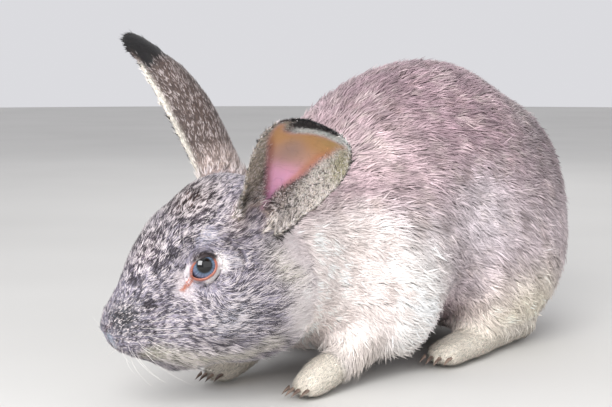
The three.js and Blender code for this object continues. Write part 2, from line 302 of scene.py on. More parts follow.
def modify(piece, kind, **settings):
    """Adds a modifier to a piece and applies it."""
    only(piece)
    bpy.ops.object.modifier_add(type=kind)
    modifier = piece.modifiers[-1]
    for setting, value in settings.items():
        setattr(modifier, setting, value)
    bpy.ops.object.modifier_apply(modifier=modifier.name)


def flesh_copy(number, name):
    """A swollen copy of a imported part, whose faces remember the part's number."""
    mesh = nodes[name].data.copy()
    mesh.materials.clear()
    label = mesh.attributes.new("part", "INT", "FACE")
    label.data.foreach_set("value", [number] * len(mesh.polygons))
    copy = linked("flesh_" + name, mesh)
    edit_whole(copy, bpy.ops.mesh.remove_doubles, threshold=SAME_PLACE)
    modify(copy, "DISPLACE", strength=SWELL, mid_level=0)
    return copy


copies = [flesh_copy(number, name) for number, name in enumerate(FLESH)]
only(*copies)
bpy.ops.object.join()
skin = bpy.context.object
skin.name = skin.data.name = "skin"

corner_table = [tuple(face.vertices) for face in skin.data.polygons]
face_part = np.zeros(len(corner_table), int)
skin.data.attributes["part"].data.foreach_get("value", face_part)
joined = BVHTree.FromPolygons([v.co[:] for v in skin.data.vertices], corner_table)
print("joined copies:", len(corner_table), "faces")

# %% Remesh, and keep the outer surface
modify(skin, "REMESH", mode="VOXEL", voxel_size=FINE, use_smooth_shade=True)
edit_whole(skin, bpy.ops.mesh.separate, type="LOOSE")
pieces = sorted(bpy.context.selected_objects, key=lambda piece: len(piece.data.vertices))
skin = pieces.pop()
for crumb in pieces:
    bpy.data.objects.remove(crumb)
skin.name = skin.data.name = "skin"
print("skin:", len(skin.data.vertices), "points,", len(pieces), "crumbs removed")

# %% [markdown]
# The nose and the mouth need finer squares than the flank, so only those are divided again. It is
# cheaper than a fine skin all over.

# %% Finer squares round the nose and mouth
SNOUT_AT = (0, -56, -14)  # in the head's millimetres
SNOUT_REACH = 21  # mm


def positions(piece):
    """Places of a piece's points, in metres."""
    flat = np.empty(len(piece.data.vertices) * 3)
    piece.data.vertices.foreach_get("co", flat)
    return flat.reshape(-1, 3)


def set_positions(piece, points):
    """Moves a piece's points to these places."""
    piece.data.vertices.foreach_set("co", np.ascontiguousarray(points, dtype=float).ravel())
    piece.data.update()


def select_faces(piece, chosen):
    """Opens a piece in edit mode with only the chosen faces selected."""
    only(piece)
    bpy.ops.object.mode_set(mode="EDIT")
    bpy.ops.mesh.select_mode(type="FACE")
    bpy.ops.mesh.select_all(action="DESELECT")
    bpy.ops.object.mode_set(mode="OBJECT")
    piece.data.polygons.foreach_set("select", chosen)
    bpy.ops.object.mode_set(mode="EDIT")


near_snout = length_of(in_head(positions(skin)) - SNOUT_AT) < SNOUT_REACH
fine_faces = np.array([near_snout[list(face.vertices)].all() for face in skin.data.polygons])
select_faces(skin, fine_faces)
bpy.ops.mesh.subdivide(number_cuts=2)
bpy.ops.object.mode_set(mode="OBJECT")
print("after dividing the snout:", len(skin.data.vertices), "points")

# %% [markdown]
# ## Knowing which part a point belongs to
#
# Each point of the skin looks up the nearest face of the joined copies, and so knows whether it is
# ear, cheek or haunch. Shares that are spread to the neighbours again and again turn these hard
# borders into soft ones.

# %% The part of each point
def neighbours(piece):
    """For each point, the points at the other ends of its edges, as one long sorted list."""
    edges = np.empty(len(piece.data.edges) * 2, int)
    piece.data.edges.foreach_get("vertices", edges)
    edges = edges.reshape(-1, 2)
    both = np.concatenate([edges, edges[:, ::-1]])
    both = both[np.argsort(both[:, 0], kind="stable")]
    starts = np.searchsorted(both[:, 0], np.arange(len(piece.data.vertices)))
    counts = np.bincount(both[:, 0], minlength=len(piece.data.vertices))
    return both[:, 1], starts, counts


def spread(values, passes, hold=0.0):
    """Each point's value averaged with its neighbours', over and over."""
    others, starts, counts = skin_neighbours
    flat = values.reshape(len(values), -1).astype(float)
    for _ in range(passes):
        around = np.add.reduceat(flat[others], starts, axis=0) / counts[:, None]
        flat = hold * flat + (1 - hold) * around
    return flat.reshape(values.shape)


skin_neighbours = neighbours(skin)
place = positions(skin)
part = np.array([face_part[joined.find_nearest(point)[2]] for point in place])
PART = {name: number for number, name in enumerate(FLESH)}


def is_part(*names):
    """1 where a point belongs to one of these parts, and 0 elsewhere."""
    return np.isin(part, [PART[name] for name in names]).astype(float)


on_ears = is_part("ear_left", "ear_right")
on_paws = is_part("fore_paw_left", "fore_paw_right", "hind_foot_left", "hind_foot_right")
on_legs = is_part("fore_leg_left", "fore_leg_right")
on_head = is_part("head")
on_tail = is_part("tail")
print({name: int((part == number).sum()) for name, number in PART.items()})

# %% [markdown]
# ## Facets to flesh
#
# The facets are smoothed away: strongly on the big round trunk, and hardly at all on the ears and
# paws, which would shrink or lose their toes. A vertex group says how much each point takes part.

# %% Smooth the skin
FIRMNESS = ((on_ears, 0.975), (on_paws, 0.9), (on_head, 0.72), (on_tail, 0.5), (on_legs, 0.4))
LEAST_SOFT = 0.02
SNOUT_SOFT = 0.45  # at most
SMOOTHING_PASSES = 110

softness = np.ones(len(place))
for where, firmness in FIRMNESS:
    softness -= firmness * where
softness = spread(np.clip(softness, LEAST_SOFT, 1), 6)
near_snout = length_of(in_head(place) - SNOUT_AT) < SNOUT_REACH + 4
softness = np.where(near_snout, np.minimum(softness, SNOUT_SOFT), softness)
group = skin.vertex_groups.new(name="softness")
for vertex, weight in enumerate(softness):
    group.add([vertex], float(weight), "REPLACE")
modify(skin, "SMOOTH", vertex_group="softness", factor=0.5, iterations=SMOOTHING_PASSES)
place = positions(skin)
print("smoothed; height now", round(place[:, 2].max(), 4))

# %% [markdown]
# ## How deep the coat is
#
# A rabbit's outline is fur. The skin lies well inside it: a centimetre behind the shoulders, half
# of that on the flanks, two or three millimetres on the face, and one on the ears. So the skin is
# drawn inwards along its normals by the depth of the coat at each place, which leaves room for the
# hairs to fill the outline.

# %% Draw the skin in by the coat's depth
DEPTH = {  # in mm, by the start of a part's name
    "head": 2.6,
    "neck": 5.4,
    "trunk": 4.4,
    "haunch": 4.2,
    "fore_leg": 4,
    "fore_paw": 2.0,
    "hind_foot": 2.2,
    "tail": 6,
    "ear": 0.9,
}
THINNEST, THICKEST = 0.9, 12  # mm
EAR_THICKEST = 1.1


def normals(piece):
    """Directions out of the surface at a piece's points."""
    flat = np.empty(len(piece.data.vertices) * 3)
    piece.data.vertex_normals.foreach_get("vector", flat)
    return flat.reshape(-1, 3)


depth = np.array([next(DEPTH[key] for key in DEPTH if FLESH[n].startswith(key)) for n in part])
head_place = in_head(place)
muzzle_share = on_head * step(-18, -40, head_place[:, 1])
cheek_share = on_head * step(-12, 8, head_place[:, 1]) * step(-8, -26, head_place[:, 2])
depth += -1.2 * muzzle_share + 1.6 * cheek_share
forehead_share = on_head * step(4, 20, head_place[:, 2]) * step(14, 0, np.abs(head_place[:, 1] + 4))
depth -= 1.3 * forehead_share
near_floor = step(0.022, 0.004, place[:, 2]) * (1 - on_paws)
depth = spread(np.clip(depth, THINNEST, THICKEST), 8, hold=0.2) * (1 - 0.3 * near_floor)
depth = np.where(on_ears > 0.5, np.minimum(depth, EAR_THICKEST), depth)
off_head = on_head + on_ears < 0.5
behind_shoulders = spot(mirrored(place / MM), (18, -15, 168), (70, 75, 55)) * off_head
rump = spot(mirrored(place / MM), (30, 130, 130), (80, 90, 80)) * off_head
depth += 7.0 * behind_shoulders - 2.5 * rump
set_positions(skin, place - normals(skin) * ((depth + SWELL / MM) * MM)[:, None])
place = positions(skin)
print("coat from", depth.min().round(1), "to", depth.max().round(1), "mm deep")

# %% [markdown]
# ## Folds of the face
#
# A rabbit's nose is a soft pad, split by a cleft that runs down to the mouth, with two slanting
# slits for nostrils. These are grooves: every point near a line through a few chosen stops is pushed
# in, and the stops are first snapped to the skin. The brow, the upper lip, the wings of the nose and
# the flap behind the eye are low swellings, made the same way with the sign turned round.

# %% Grooves and swellings
# Stops of the left side, in the head's millimetres
NOSTRIL = [(1.2, -64, -7), (4.4, -62, -3.5), (7.6, -58, -1.5)]
CLEFT = [(0, -64, -7), (0, -63, -14), (0, -60, -25)]
MOUTH = [(0, -60, -25), (7, -56, -29), (14, -49, -31.5)]
CHEEK_FOLD = [
    (26, 18.4, 3.6),
    (26, 19, 0.7),
    (24.5, 21.9, -6.1),
    (24.7, 20.4, -11.8),
    (25.4, 17.1, -13.8),
]
JOWL_FOLD = [(18, -31, -28), (19, -27.3, -32), (21, -22.8, -39.6), (24, -12, -45)]
UNDER_EYE = [(24, -6, -12.5), (27, 2, -13.5), (28.5, 9, -12.5)]
BROW = [(23, -9, 10), (26, 1, 13), (26, 11, 10)]


def tree_of(piece):
    """A search tree of a piece's faces."""
    faces = [tuple(face.vertices) for face in piece.data.polygons]
    return BVHTree.FromPolygons([v.co[:] for v in piece.data.vertices], faces)


skin_tree = tree_of(skin)


def snapped(stops):
    """Stops of the head's frame, moved to the nearest place on the skin."""
    return [in_head(np.array(skin_tree.find_nearest(Vector(from_head(stop)))[0])) for stop in stops]


def groove(stops, reach):
    """1 along a line of stops on both sides of the face, fading to 0 at the reach."""
    return on_head * (1 - step(0, reach, line_distance(face_place, snapped(stops))))


face_place = mirrored(in_head(place))
# Reaches, depths and heights in mm
nostril = groove(NOSTRIL, 1.7)
cleft = groove(CLEFT, 1.5)
mouth = groove(MOUTH, 1.6)
cheek_fold = groove(CHEEK_FOLD, 3.2)
jowl_fold = groove(JOWL_FOLD, 5)
push = -1.7 * nostril - 1.3 * cleft - 1.5 * mouth - 2.4 * cheek_fold - 1.6 * jowl_fold
push += 1.0 * on_head * spot(face_place, (27, 14, -6), (7, 6, 9))  # behind the eye
push += -0.8 * groove(UNDER_EYE, 4) + 1.3 * groove(BROW, 8)
push += 1.0 * on_head * spot(face_place, (7, -58, -14), (8, 8, 8))  # upper lip
push += 0.8 * on_head * spot(face_place, (5, -62, -4), (5, 5, 4))  # wing of the nose
set_positions(skin, place + normals(skin) * (push * MM)[:, None])
place = positions(skin)
print("deepest fold", push.min().round(2), "mm, highest swelling", push.max().round(2), "mm")

# %% [markdown]
# ## The eyes' own frame
#
# A rabbit's eyes look sideways, slightly forwards and up. Each eye gets three directions: out along
# its gaze, round towards the tail, and up. The opening between the lids is an egg with a drawn-out
# corner at the front, given as a radius for each direction round the gaze.

# %% The eyes' frames and the opening of the lids
GAZE = np.array((0.963, -0.062, 0.262))
TAILWARD = np.array((0.415, 0.775, -0.477))
EYE_RADIUS = 9.0  # mm
EYE_OUT = 22.0  # mm, from the middle of the head to the middle of the eye
# Radius of the lids' opening in mm, by the angle round the gaze: 0 is tailward, and 90 degrees up
ANGLES = np.radians([0, 18, 45, 76, 100, 128, 169, 205, 227, 244, 267, 298, 342, 360])
OPENING = np.array([6.2, 6.1, 5.7, 4.4, 3.7, 3.6, 4.6, 6.7, 8.2, 7.7, 6.9, 6.0, 6.1, 6.3])


def eye_frame(side):
    """Middle, gaze, tailward and upward directions of an eye, in the head's millimetres."""
    mirror = np.array((side, 1, 1))
    gaze = unit(GAZE)
    tailward = unit(TAILWARD - gaze * (gaze @ TAILWARD))
    upward = np.cross(gaze, tailward)
    upward = upward * np.sign(upward[2])
    return np.array((EYE_OUT, 0, 0)) * mirror, gaze * mirror, tailward * mirror, upward * mirror


def round_eye(points, side):
    """Radius and angle round the gaze, and height along it, of points in the head's frame."""
    at, gaze, tailward, upward = eye_frame(side)
    away = points - at
    back, up = away @ tailward, away @ upward
    return np.hypot(back, up), np.arctan2(up, back) % (2 * math.pi), away @ gaze


def opening(angles):
    """Radius of the lids' opening at an angle round the gaze."""
    return np.interp(angles % (2 * math.pi), ANGLES, OPENING)


# The skin round the eye is pressed down, so that it stands no higher than this at each radius, in mm
SOCKET_RADII = [0, 7, 9, 10.5, 13, 17]
SOCKET_HEIGHTS = [-7, 0.0, 2.0, 3.2, 4.2, 6.5]
for side in (1, -1):
    head_place = in_head(place)
    radius, angle, height = round_eye(head_place, side)
    highest = np.interp(radius, SOCKET_RADII, SOCKET_HEIGHTS)
    in_socket = (radius < SOCKET_RADII[-1]) & (height > 0)
    sink = np.where(in_socket, np.maximum(height - highest, 0), 0)
    place = place - turned(eye_frame(side)[1])[None] * (sink * MM)[:, None]
set_positions(skin, place)
skin_tree = tree_of(skin)
print("lids open", round(2 * OPENING.mean(), 1), "mm on average")

# %% [markdown]
# ## Eyelids
#
# The lids are a ring of flesh that hugs the eyeball. A torus is the right start: it is already a
# closed ring. Its points are then moved, so that its section becomes a lid: a wet edge against the
# eye, a rounded margin, a slope that meets the face, and an underside that hides below the skin.

# %% Lids
LID_STEPS = 72  # points round the eye
OUTSIDE = 30  # mm from the eye's middle, well outside the face
# Section of a lid, in mm: distance outside the opening, height over the eyeball, and height over the
# skin. The higher of the two counts; None leaves one of them out.
LID_SECTION = (
    (-0.1, 0.05, None),
    (0.25, 0.75, None),
    (0.9, 1.15, None),
    (1.6, 1.10, 0.8),
    (2.7, 0.70, 0.8),
    (4.2, 0.30, 0.5),
    (6.0, None, -0.8),
    (5.5, None, -2.5),
    (3.8, None, -3.5),
    (2.2, -1.2, None),
    (1.0, -0.9, None),
    (0.3, -0.7, None),
)


def skin_height(side, radius, angle):
    """How high the skin stands along the gaze, at a radius and angle round it."""
    at, gaze, tailward, upward = eye_frame(side)
    high = at + gaze * OUTSIDE + tailward * radius * math.cos(angle) + upward * radius * math.sin(angle)
    hit = skin_tree.ray_cast(Vector(from_head(high)), Vector(turned(-gaze)))
    return OUTSIDE - hit[3] / MM if hit[0] else 0.0


def primitive(name, operator, **settings):
    """Adds one of Blender's primitives, with nothing else selected."""
    only(skin)
    bpy.ops.object.select_all(action="DESELECT")
    operator(**settings)
    piece = bpy.context.object
    piece.name = piece.data.name = name
    return piece


def eyelid(name, side):
    """A ring whose every section is set round the opening of the lids."""
    torus = bpy.ops.mesh.primitive_torus_add
    lid = primitive(name, torus, major_segments=LID_STEPS, minor_segments=len(LID_SECTION))
    at, gaze, tailward, upward = eye_frame(side)
    points = np.zeros((LID_STEPS * len(LID_SECTION), 3))
    section = np.zeros(len(points))
    for round_step in range(LID_STEPS):
        angle = 2 * math.pi * round_step / LID_STEPS
        for row, (out, over_eye, over_skin) in enumerate(LID_SECTION):
            radius = opening(angle) + out
            heights = []
            if over_eye is not None:
                heights.append(math.sqrt(max((EYE_RADIUS + over_eye) ** 2 - radius**2, 0)))
            if over_skin is not None:
                heights.append(skin_height(side, radius, angle) + over_skin)
            number = round_step * len(LID_SECTION) + row
            section[number] = row
            points[number] = at + gaze * max(heights)
            points[number] += radius * (tailward * math.cos(angle) + upward * math.sin(angle))
    set_positions(lid, from_head(points))
    edit_whole(lid, bpy.ops.mesh.normals_make_consistent, inside=False)
    label = lid.data.attributes.new("section", "FLOAT", "POINT")
    label.data.foreach_set("value", section)
    modify(lid, "SUBSURF", levels=1, render_levels=1)
    bpy.ops.object.shade_smooth()
    return lid


eyelids = {"left": eyelid("eyelid_left", 1), "right": eyelid("eyelid_right", -1)}
print("eyelids:", [len(lid.data.vertices) for lid in eyelids.values()], "points")

# %% [markdown]
# ## Coordinates along an ear
#
# The ears are curled leaves. Where a point lies on one is said by three numbers: how far from root
# to tip, how far across from edge to edge, and whether it is on the hollow side. They come from the
# ear's middle line, a smooth curve through five stops in the head's frame.

# %% Along and across the ears
EAR_LINES = {
    "left": ((20, 47, 6), (47, 54, 20), (73, 60, 34), (98, 63, 47), (122, 64, 59)),
    "right": ((-15, 50, 5), (-27, 59, 34), (-41, 65, 67), (-56, 63, 96), (-69, 55, 113)),
}
EAR_FACES = {"left": (0.45, -0.79, -0.41), "right": (-0.75, -0.65, 0)}  # the way the hollow looks
EAR_CURLS = {"left": (115, 93, 72, 45), "right": (115, 97, 80, 45)}  # half of the curl, in degrees
CURLS_AT = (0, 0.18, 0.5, 1)  # shares from root to tip
EAR_HALF_WIDTH = 31  # mm, round the curl
EAR_WIDTHS = ([0, 0.2, 0.45, 0.7, 0.88, 0.97, 1], [0.9, 0.94, 1, 0.9, 0.62, 0.3, 0.12])
EAR_WALL = 4.5  # mm at the root
EAR_THINNING = 0.35  # of the wall, from root to tip
THICKEST_WALL = 0.7  # of the curl's radius
CURL_MIDDLE = 0.75  # of the curl's radius in front of the middle line


def along_ear(points, name):
    """Share from root to tip, place across from -1 to 1, share through the wall, up and sidewards."""
    line = np.array(EAR_LINES[name], float)
    share = np.insert(np.cumsum(length_of(np.diff(line, axis=0))), 0, 0)
    share /= share[-1]
    steps = np.linspace(0, 1, 101)
    curve = np.stack([np.polyval(np.polyfit(share, line[:, k], 4), steps) for k in range(3)], 1)
    up = unit(np.gradient(curve, axis=0))
    side = unit(np.cross(-np.array(EAR_FACES[name]), up))
    back = np.cross(up, side)
    curl = np.radians(np.interp(steps, CURLS_AT, EAR_CURLS[name]))
    radius = EAR_HALF_WIDTH * np.interp(steps, *EAR_WIDTHS) / curl
    wall = np.minimum(EAR_WALL * (1 - EAR_THINNING * steps), radius * THICKEST_WALL)
    away = points[:, None, :] - curve[None]
    # The place along the line that a point is level with, and of several the nearest
    nearest = (np.abs((away * up).sum(2)) + 0.02 * length_of(away)).argmin(1)
    off = points - curve[nearest]
    x = (off * side[nearest]).sum(1)
    y = (off * back[nearest]).sum(1) + CURL_MIDDLE * radius[nearest]
    across = np.arctan2(x, y) / curl[nearest]
    through = (radius[nearest] - np.hypot(x, y)) / wall[nearest]
    return steps[nearest], across, through, up[nearest], side[nearest]


EAR_SHARES = [0, 0.15, 0.3, 0.5, 0.7, 0.8, 0.9, 0.97, 1]
EAR_SPREADS = {  # how far each edge of an ear is drawn outwards, in mm, at these shares
    "left": ([0, 0, 0, 1, 2.5, 4, 5, 4, 3], [0, 0, 0, 1.5, 4.5, 6, 8, 8.5, 8]),
    "right": ([3, 3, 0.5, 0, 0, 0, 0, 0, 0], [3, 2, 0.5, 0, 0, 0, 0, 0, 0]),
}
EAR_TUCK = [0, 0, 0, 2, 5.5, 9, 5, -3, -8]  # mm sidewards, for all of the right ear but an edge

ear_share, ear_across, ear_inside = np.zeros((3, len(place)))
ear_up = np.zeros((len(place), 3))
for name in EAR_LINES:
    own = np.flatnonzero(part == PART["ear_" + name])
    share, across, through, up, sidewards = along_ear(in_head(place[own]), name)
    ear_share[own] = share
    ear_across[own] = across
    ear_inside[own] = step(0.45, 0.6, through)
    ear_up[own] = turned(up)
    left_edge, right_edge = (np.interp(share, EAR_SHARES, edge) for edge in EAR_SPREADS[name])
    outwards = np.where(across < 0, -left_edge, right_edge) * np.abs(np.clip(across, -1, 1)) ** 1.2
    lift = 2.5 * step(0.75, 0.95, share) * step(0.0, -0.8, across) * (name == "left")
    lift += 3.5 * step(0.84, 1.0, share) * (name == "right")
    outwards += np.interp(share, EAR_SHARES, EAR_TUCK) * step(1.0, 0.0, across) * (name == "right")
    place[own] += turned(sidewards * outwards[:, None] + up * lift[:, None]) * MM
    print("ear", name, "points:", len(own), "inside share", ear_inside[own].mean().round(2))
set_positions(skin, place)

# %% [markdown]
# ## The lie of the coat
#
# Hair grows away from the nose: back over the face, along the back, and down the flanks and legs
# to the toes. On the ears it runs from root to tip. Each part gets its own direction, these are
# spread into one another over the skin, and laid flat on it. Round an eye the hair parts, as water
# does round a stone in a stream, and the same formula does both.

# %% Directions of the hair on the skin
BODY_AT = np.array((-14.3, 37.4, 0.0))  # mm, the middle of the body on the floor
body_place = place / MM - BODY_AT
head_place = in_head(place)
face_place = mirrored(head_place)
skin_normals = normals(skin)
flank = np.abs(skin_normals[:, 0])[:, None]

NOSE_TIP = np.array((0, -72, -4))  # just before the nose, in the head's millimetres
from_nose = turned(unit(head_place - NOSE_TIP)) + turned((0, 0.35, -0.12))
everywhere = np.ones_like(place)
directions = {
    "head": unit(from_nose),
    "neck": (0, 1, 0) - flank * (0, 0, 0.35),
    "trunk": (0, 1, 0) - flank * (0, 0, 0.5),
    "haunch": (0, 0.85, -0.1) - flank * (0, 0, 0.55),
    "fore_leg": (0, -0.35, -1) * everywhere,
    "fore_paw": (0, -1, -0.25) * everywhere,
    "hind_foot": (0, -1, -0.1) * everywhere,
    "tail": (0.15, 0.35, -1) * everywhere,
    "ear": ear_up,
}
lie = np.zeros_like(place)
for name, direction in directions.items():
    own = np.isin(part, [PART[node] for node in FLESH if node.startswith(name)])
    lie[own] = direction[own]
chest_down = spot(body_place, (0, -150, 40), (60, 50, 50))[:, None]
lie = lie * (1 - chest_down) + chest_down * (0, 0.2, -1)


def flattened(directions, ups):
    """Directions laid down at right angles to the ups."""
    return unit(directions - ups * (directions * ups).sum(1)[:, None])


lie = flattened(spread(unit(lie), 14), skin_normals)
PARTING = 9.5  # mm, radius of the parting round an eye
for side in (1, -1):
    at, gaze, _, _ = eye_frame(side)
    away = in_head(place) - at
    away = away - np.outer(away @ gaze, gaze)
    radius = np.maximum(length_of(away), PARTING)
    outward = turned(unit(away))
    pull = np.where(on_head > 0, (PARTING / radius) ** 2, 0)[:, None]
    lie = lie - pull * (2 * (lie * outward).sum(1)[:, None] * outward - lie)
    lie = lie + 0.35 * pull**2 * outward
lie = flattened(spread(lie, 2), skin_normals)
print("mean direction of the coat:", lie.mean(0).round(2))

# %% [markdown]
# ## How long, how wide, how many
#
# The hair is two or three millimetres long on the nose, four or five on the face and feet, and more
# than a centimetre on the body. The tufts stand for locks of a few hairs each, so they are thin on
# the face and feet, where single hairs show, and broader on the back.

# %% Length, width, lift and number of the tufts
COAT = {  # length and width in mm, rise in degrees, and tufts on a square millimetre
    "head": (4.6, 0.51, 19, 3.9),
    "neck": (10, 0.72, 22, 1.5),
    "trunk": (11.5, 0.84, 19, 0.78),
    "haunch": (11, 0.84, 19, 0.78),
    "fore_leg": (10, 0.85, 22, 0.9),
    "fore_paw": (4.4, 0.6, 20, 1.4),
    "hind_foot": (4.8, 0.6, 20, 1.3),
    "tail": (15, 1.0, 28, 0.6),
    "ear": (3.6, 0.45, 15, 2.0),
}
part_key = [next(key for key in COAT if name.startswith(key)) for name in FLESH]
coat_size = np.array([COAT[part_key[number]] for number in part], float)
coat_size = spread(coat_size, 10, hold=0.2)
tuft_length, tuft_width, tuft_rise, tuft_number = coat_size.T.copy()

snout = on_head * step(-22, -50, head_place[:, 1])
forehead = on_head * step(0, 16, head_place[:, 2]) * (1 - snout)
cheek = on_head * step(-12, 10, head_place[:, 1]) * step(-8, -26, head_place[:, 2])
chin = on_head * step(-30, -40, head_place[:, 2])
tuft_length += -2.0 * snout - 0.3 * forehead + 3.2 * cheek + 3.5 * chin
tuft_width += -0.12 * snout + 0.06 * cheek
tuft_number *= 1 + 0.5 * snout
for side in (1, -1):
    radius, angle, height = round_eye(head_place, side)
    clear = radius - opening(angle)
    close = on_head * (height > 0)
    tuft_length *= 1 - 0.55 * close * step(12, 3, clear)
    tuft_number *= 1 - close * step(3.2, 2.0, clear)
    tuft_number *= 1 + 0.4 * close * step(14, 8, clear)
    tuft_width *= 1 - 0.25 * close * step(14, 8, clear)
ear_root = on_ears * step(0.3, 0.05, ear_share)
tuft_length += 3.0 * ear_root
tuft_width += 0.1 * ear_root
tuft_rise += 6 * ear_root
folds = np.maximum(np.maximum(nostril, cleft), mouth)
tuft_number *= 1 - step(0.35, 0.7, folds)
tuft_number *= 1 - 0.6 * step(0.5, 0.9, np.maximum(cheek_fold, jowl_fold))
under = step(0.03, 0.0, place[:, 2]) * (skin_normals[:, 2] < -0.5)
print("tufts from", tuft_length.min().round(1), "to", tuft_length.max().round(1), "mm long")

# %% [markdown]
# ## Bare hollows and a black tip
#
# The hollow of a rabbit's ear is almost bare, and its border runs from a point at the root outwards
# to both edges. The left ear ends in a black tip, with a pale band before it. Both borders are given
# in the ear's own coordinates, so the hair stops where the colour changes.

# %% The ears' borders
# How far across an ear its bare hollow reaches on either side, at shares from root to tip
LOWER_HOLLOW = ([0, 0.2, 0.4, 0.6, 0.8, 0.92], [0, 0.08, 0.3, 0.42, 0.62, 0.92])
UPPER_HOLLOW = ([0, 0.1, 0.35, 0.55, 0.75, 0.95], [0, 0.15, 0.45, 0.62, 0.8, 0.92])
# Where the left ear's black tip begins: places across, and shares from root to tip
TIP_FROM = ([-0.7, -0.55, -0.35, 0, 0.3, 0.6, 0.85], [0.95, 0.86, 0.82, 0.86, 0.9, 0.93, 0.97])
BAND = 0.07  # length of the pale band before it
RIGHT_HOLLOW_TO = 0.76

left_ear = is_part("ear_left")
right_ear = is_part("ear_right")
ear_flat = np.column_stack([ear_across, ear_share])
lower_limit, upper_limit = (np.interp(ear_share, *limit) for limit in (LOWER_HOLLOW, UPPER_HOLLOW))
ear_limit = np.where(ear_across * (left_ear - right_ear) > 0, lower_limit, upper_limit)
tip_from = np.interp(ear_across, *TIP_FROM)
band_from = np.where(left_ear > 0.5, tip_from - BAND, RIGHT_HOLLOW_TO)
bare_ear = ear_inside * step(0.05, -0.12, np.abs(ear_across) - ear_limit)
bare_ear *= step(band_from + 0.02, band_from - 0.04, ear_share)
tuft_number *= 1 - np.where(on_ears > 0.5, bare_ear, 0)
tuft_number *= 1 - 0.6 * under
print("bare share of the ears:", bare_ear[on_ears > 0.5].mean().round(2))

# %% [markdown]
# ## Markings
#
# Wild-coloured rabbit fur is not one grey. Each hair is slate at the root, pale in the middle, and
# tipped black or white, so the coat looks ticked, like pepper and salt. The back is a warm mauve
# grey, the shoulder and the chest nearly white, the cheeks silver, the chin cream, and there is a
# pale ring round the eye. The colours are mixed by soft spots and bands, on the skin's own points, so
# that the skin and every tuft that grows from it carry the same markings.

# %% Colours of the body
body_place = place / MM - BODY_AT
sided = mirrored(body_place)
head_place = in_head(place)
face_place = mirrored(head_place)
height = body_place[:, 2]
rearward = body_place[:, 1]

paint = np.tile(colour("a0878f"), (len(place), 1))  # mauve grey of the back


def mark(share, code, strength=1.0):
    """Paints a colour over the skin where a share says so."""
    global paint
    paint = toward(paint, colour(code), share * strength)


# Places and reaches in mm, from the middle of the body on the floor
mark(step(160, 90, height) * step(30, 70, sided[:, 0]), "c0b2b6")  # paler flanks
mark(step(10, 90, rearward) * step(80, 140, height), "87777c", 0.85)  # darker rump
mark(step(40, 110, rearward) * step(0.35, 0.8, skin_normals[:, 1] * 1.3), "9a8d92", 0.8)  # buttocks
mark(spot(sided, (30, -85, 140), (60, 70, 60)), "c3acb0")  # shoulders
mark(spot(sided, (66, -10, 100), (40, 50, 50)), "d6ccd1", 0.8)  # ribs
mark(spot(sided, (78, 45, 25), (60, 80, 58)), "f3e9d6", 1.3)  # cream along the belly
mark(spot(sided, (62, -112, 48), (62, 92, 84)), "fffbf8", 1.6)  # white chest
mark(step(34, 12, height) * step(0.1, -0.5, skin_normals[:, 2]), "efe7e0")  # underside
mark(spread(is_part("neck"), 12) * step(125, 95, height), "faeeea")  # white under the neck

# Dapple, a little shorter along the body than across it
DAPPLE = ((0.007, 22, "857269"), (0.006, 23, "e6d8d2"))  # size in metres, seed and colour
body = 1 - spread(on_head, 8)
shoulder = spot(sided, (55, -95, 100), (60, 70, 60))
mark(shoulder * step(0, 0.8, patches(place, 0.005, 21)), "b09c92", 0.45)
for size, seed, code in DAPPLE:
    mark(body * step(0, 0.8, patches(place * (1, 1.5, 1), size, seed)), code, 0.34)
print("mean colour of the body:", paint[on_head < 0.5].mean(0).round(3))

# %% Colours of the head
FACE_MARKS = (  # colour, place and reach in the head's millimetres, strength
    ("6c534d", (8, 16, 30), (28, 26, 17), 1.1),  # brown crown
    ("a3939f", (9, -20, 22), (16, 26, 16), 1.0),  # lilac bridge of the nose
    ("55545a", (10, -50, -2), (16, 18, 16), 1.2),  # violet-grey muzzle
    ("8f8283", (26, 27, 9), (12, 14, 14), 0.9),  # temple
    ("b3b1bb", (29, -6, -32), (14, 24, 18), 1.2),  # silver cheek
    ("75717c", (17, -46, -13), (9, 9, 7), 0.9),  # whisker pad
    ("6d6470", (22, -1, 20), (7, 8, 7), 1.1),  # slate above the front of the eye
    ("c2c0d0", (25, 8, 14), (9, 9, 7), 1.4),  # light grey over the eye
    ("dfd3d8", (21.5, -16, -4), (10, 10, 13), 1.6),  # white in front of the eye
    ("908a98", (24, -8, -17), (7, 15, 5), 0.9),  # dark streaks below it
    ("f6eeee", (26, 9, -3), (8, 5, 9), 2.0),  # white behind the eye
    ("b4b4c0", (26, 15, -7), (5, 4.5, 8), 0.9),  # grey fluff behind the white
    ("77727e", (29, 6, -27), (5, 4, 5), 0.9),  # dark touch on the cheek
    ("b4bccd", (5, -63, -9), (5, 6, 8), 1.3),  # pale edge of the nose
    ("a19c8e", (12, -48, -28), (16, 12, 8), 1.0),  # cream lip
    ("dad3c4", (16, 34, -34), (20, 20, 34), 1.2),  # pale back of the cheek
    ("f4ebe9", (18, 30, -58), (24, 24, 24), 1.6),  # white throat
    ("efe3e3", (12, 56, -26), (24, 24, 36), 1.6),  # white neck
)
JOWL = [(15, -51, -29), (14, -34, -45), (18, -14, -55), (22, 4, -61)]  # pale line of the lower jaw
face = np.tile(colour("a099a8"), (len(place), 1))
for code, at, reach, strength in FACE_MARKS:
    face = toward(face, colour(code), spot(face_place, at, reach) * strength)
face = toward(face, colour("dcd6c6"), step(11, 3, line_distance(face_place, JOWL)) * 0.9)
head_share = spread(on_head, 10)
paint = toward(paint, face, head_share)
print("mean colour of the skin:", paint.mean(0).round(3))

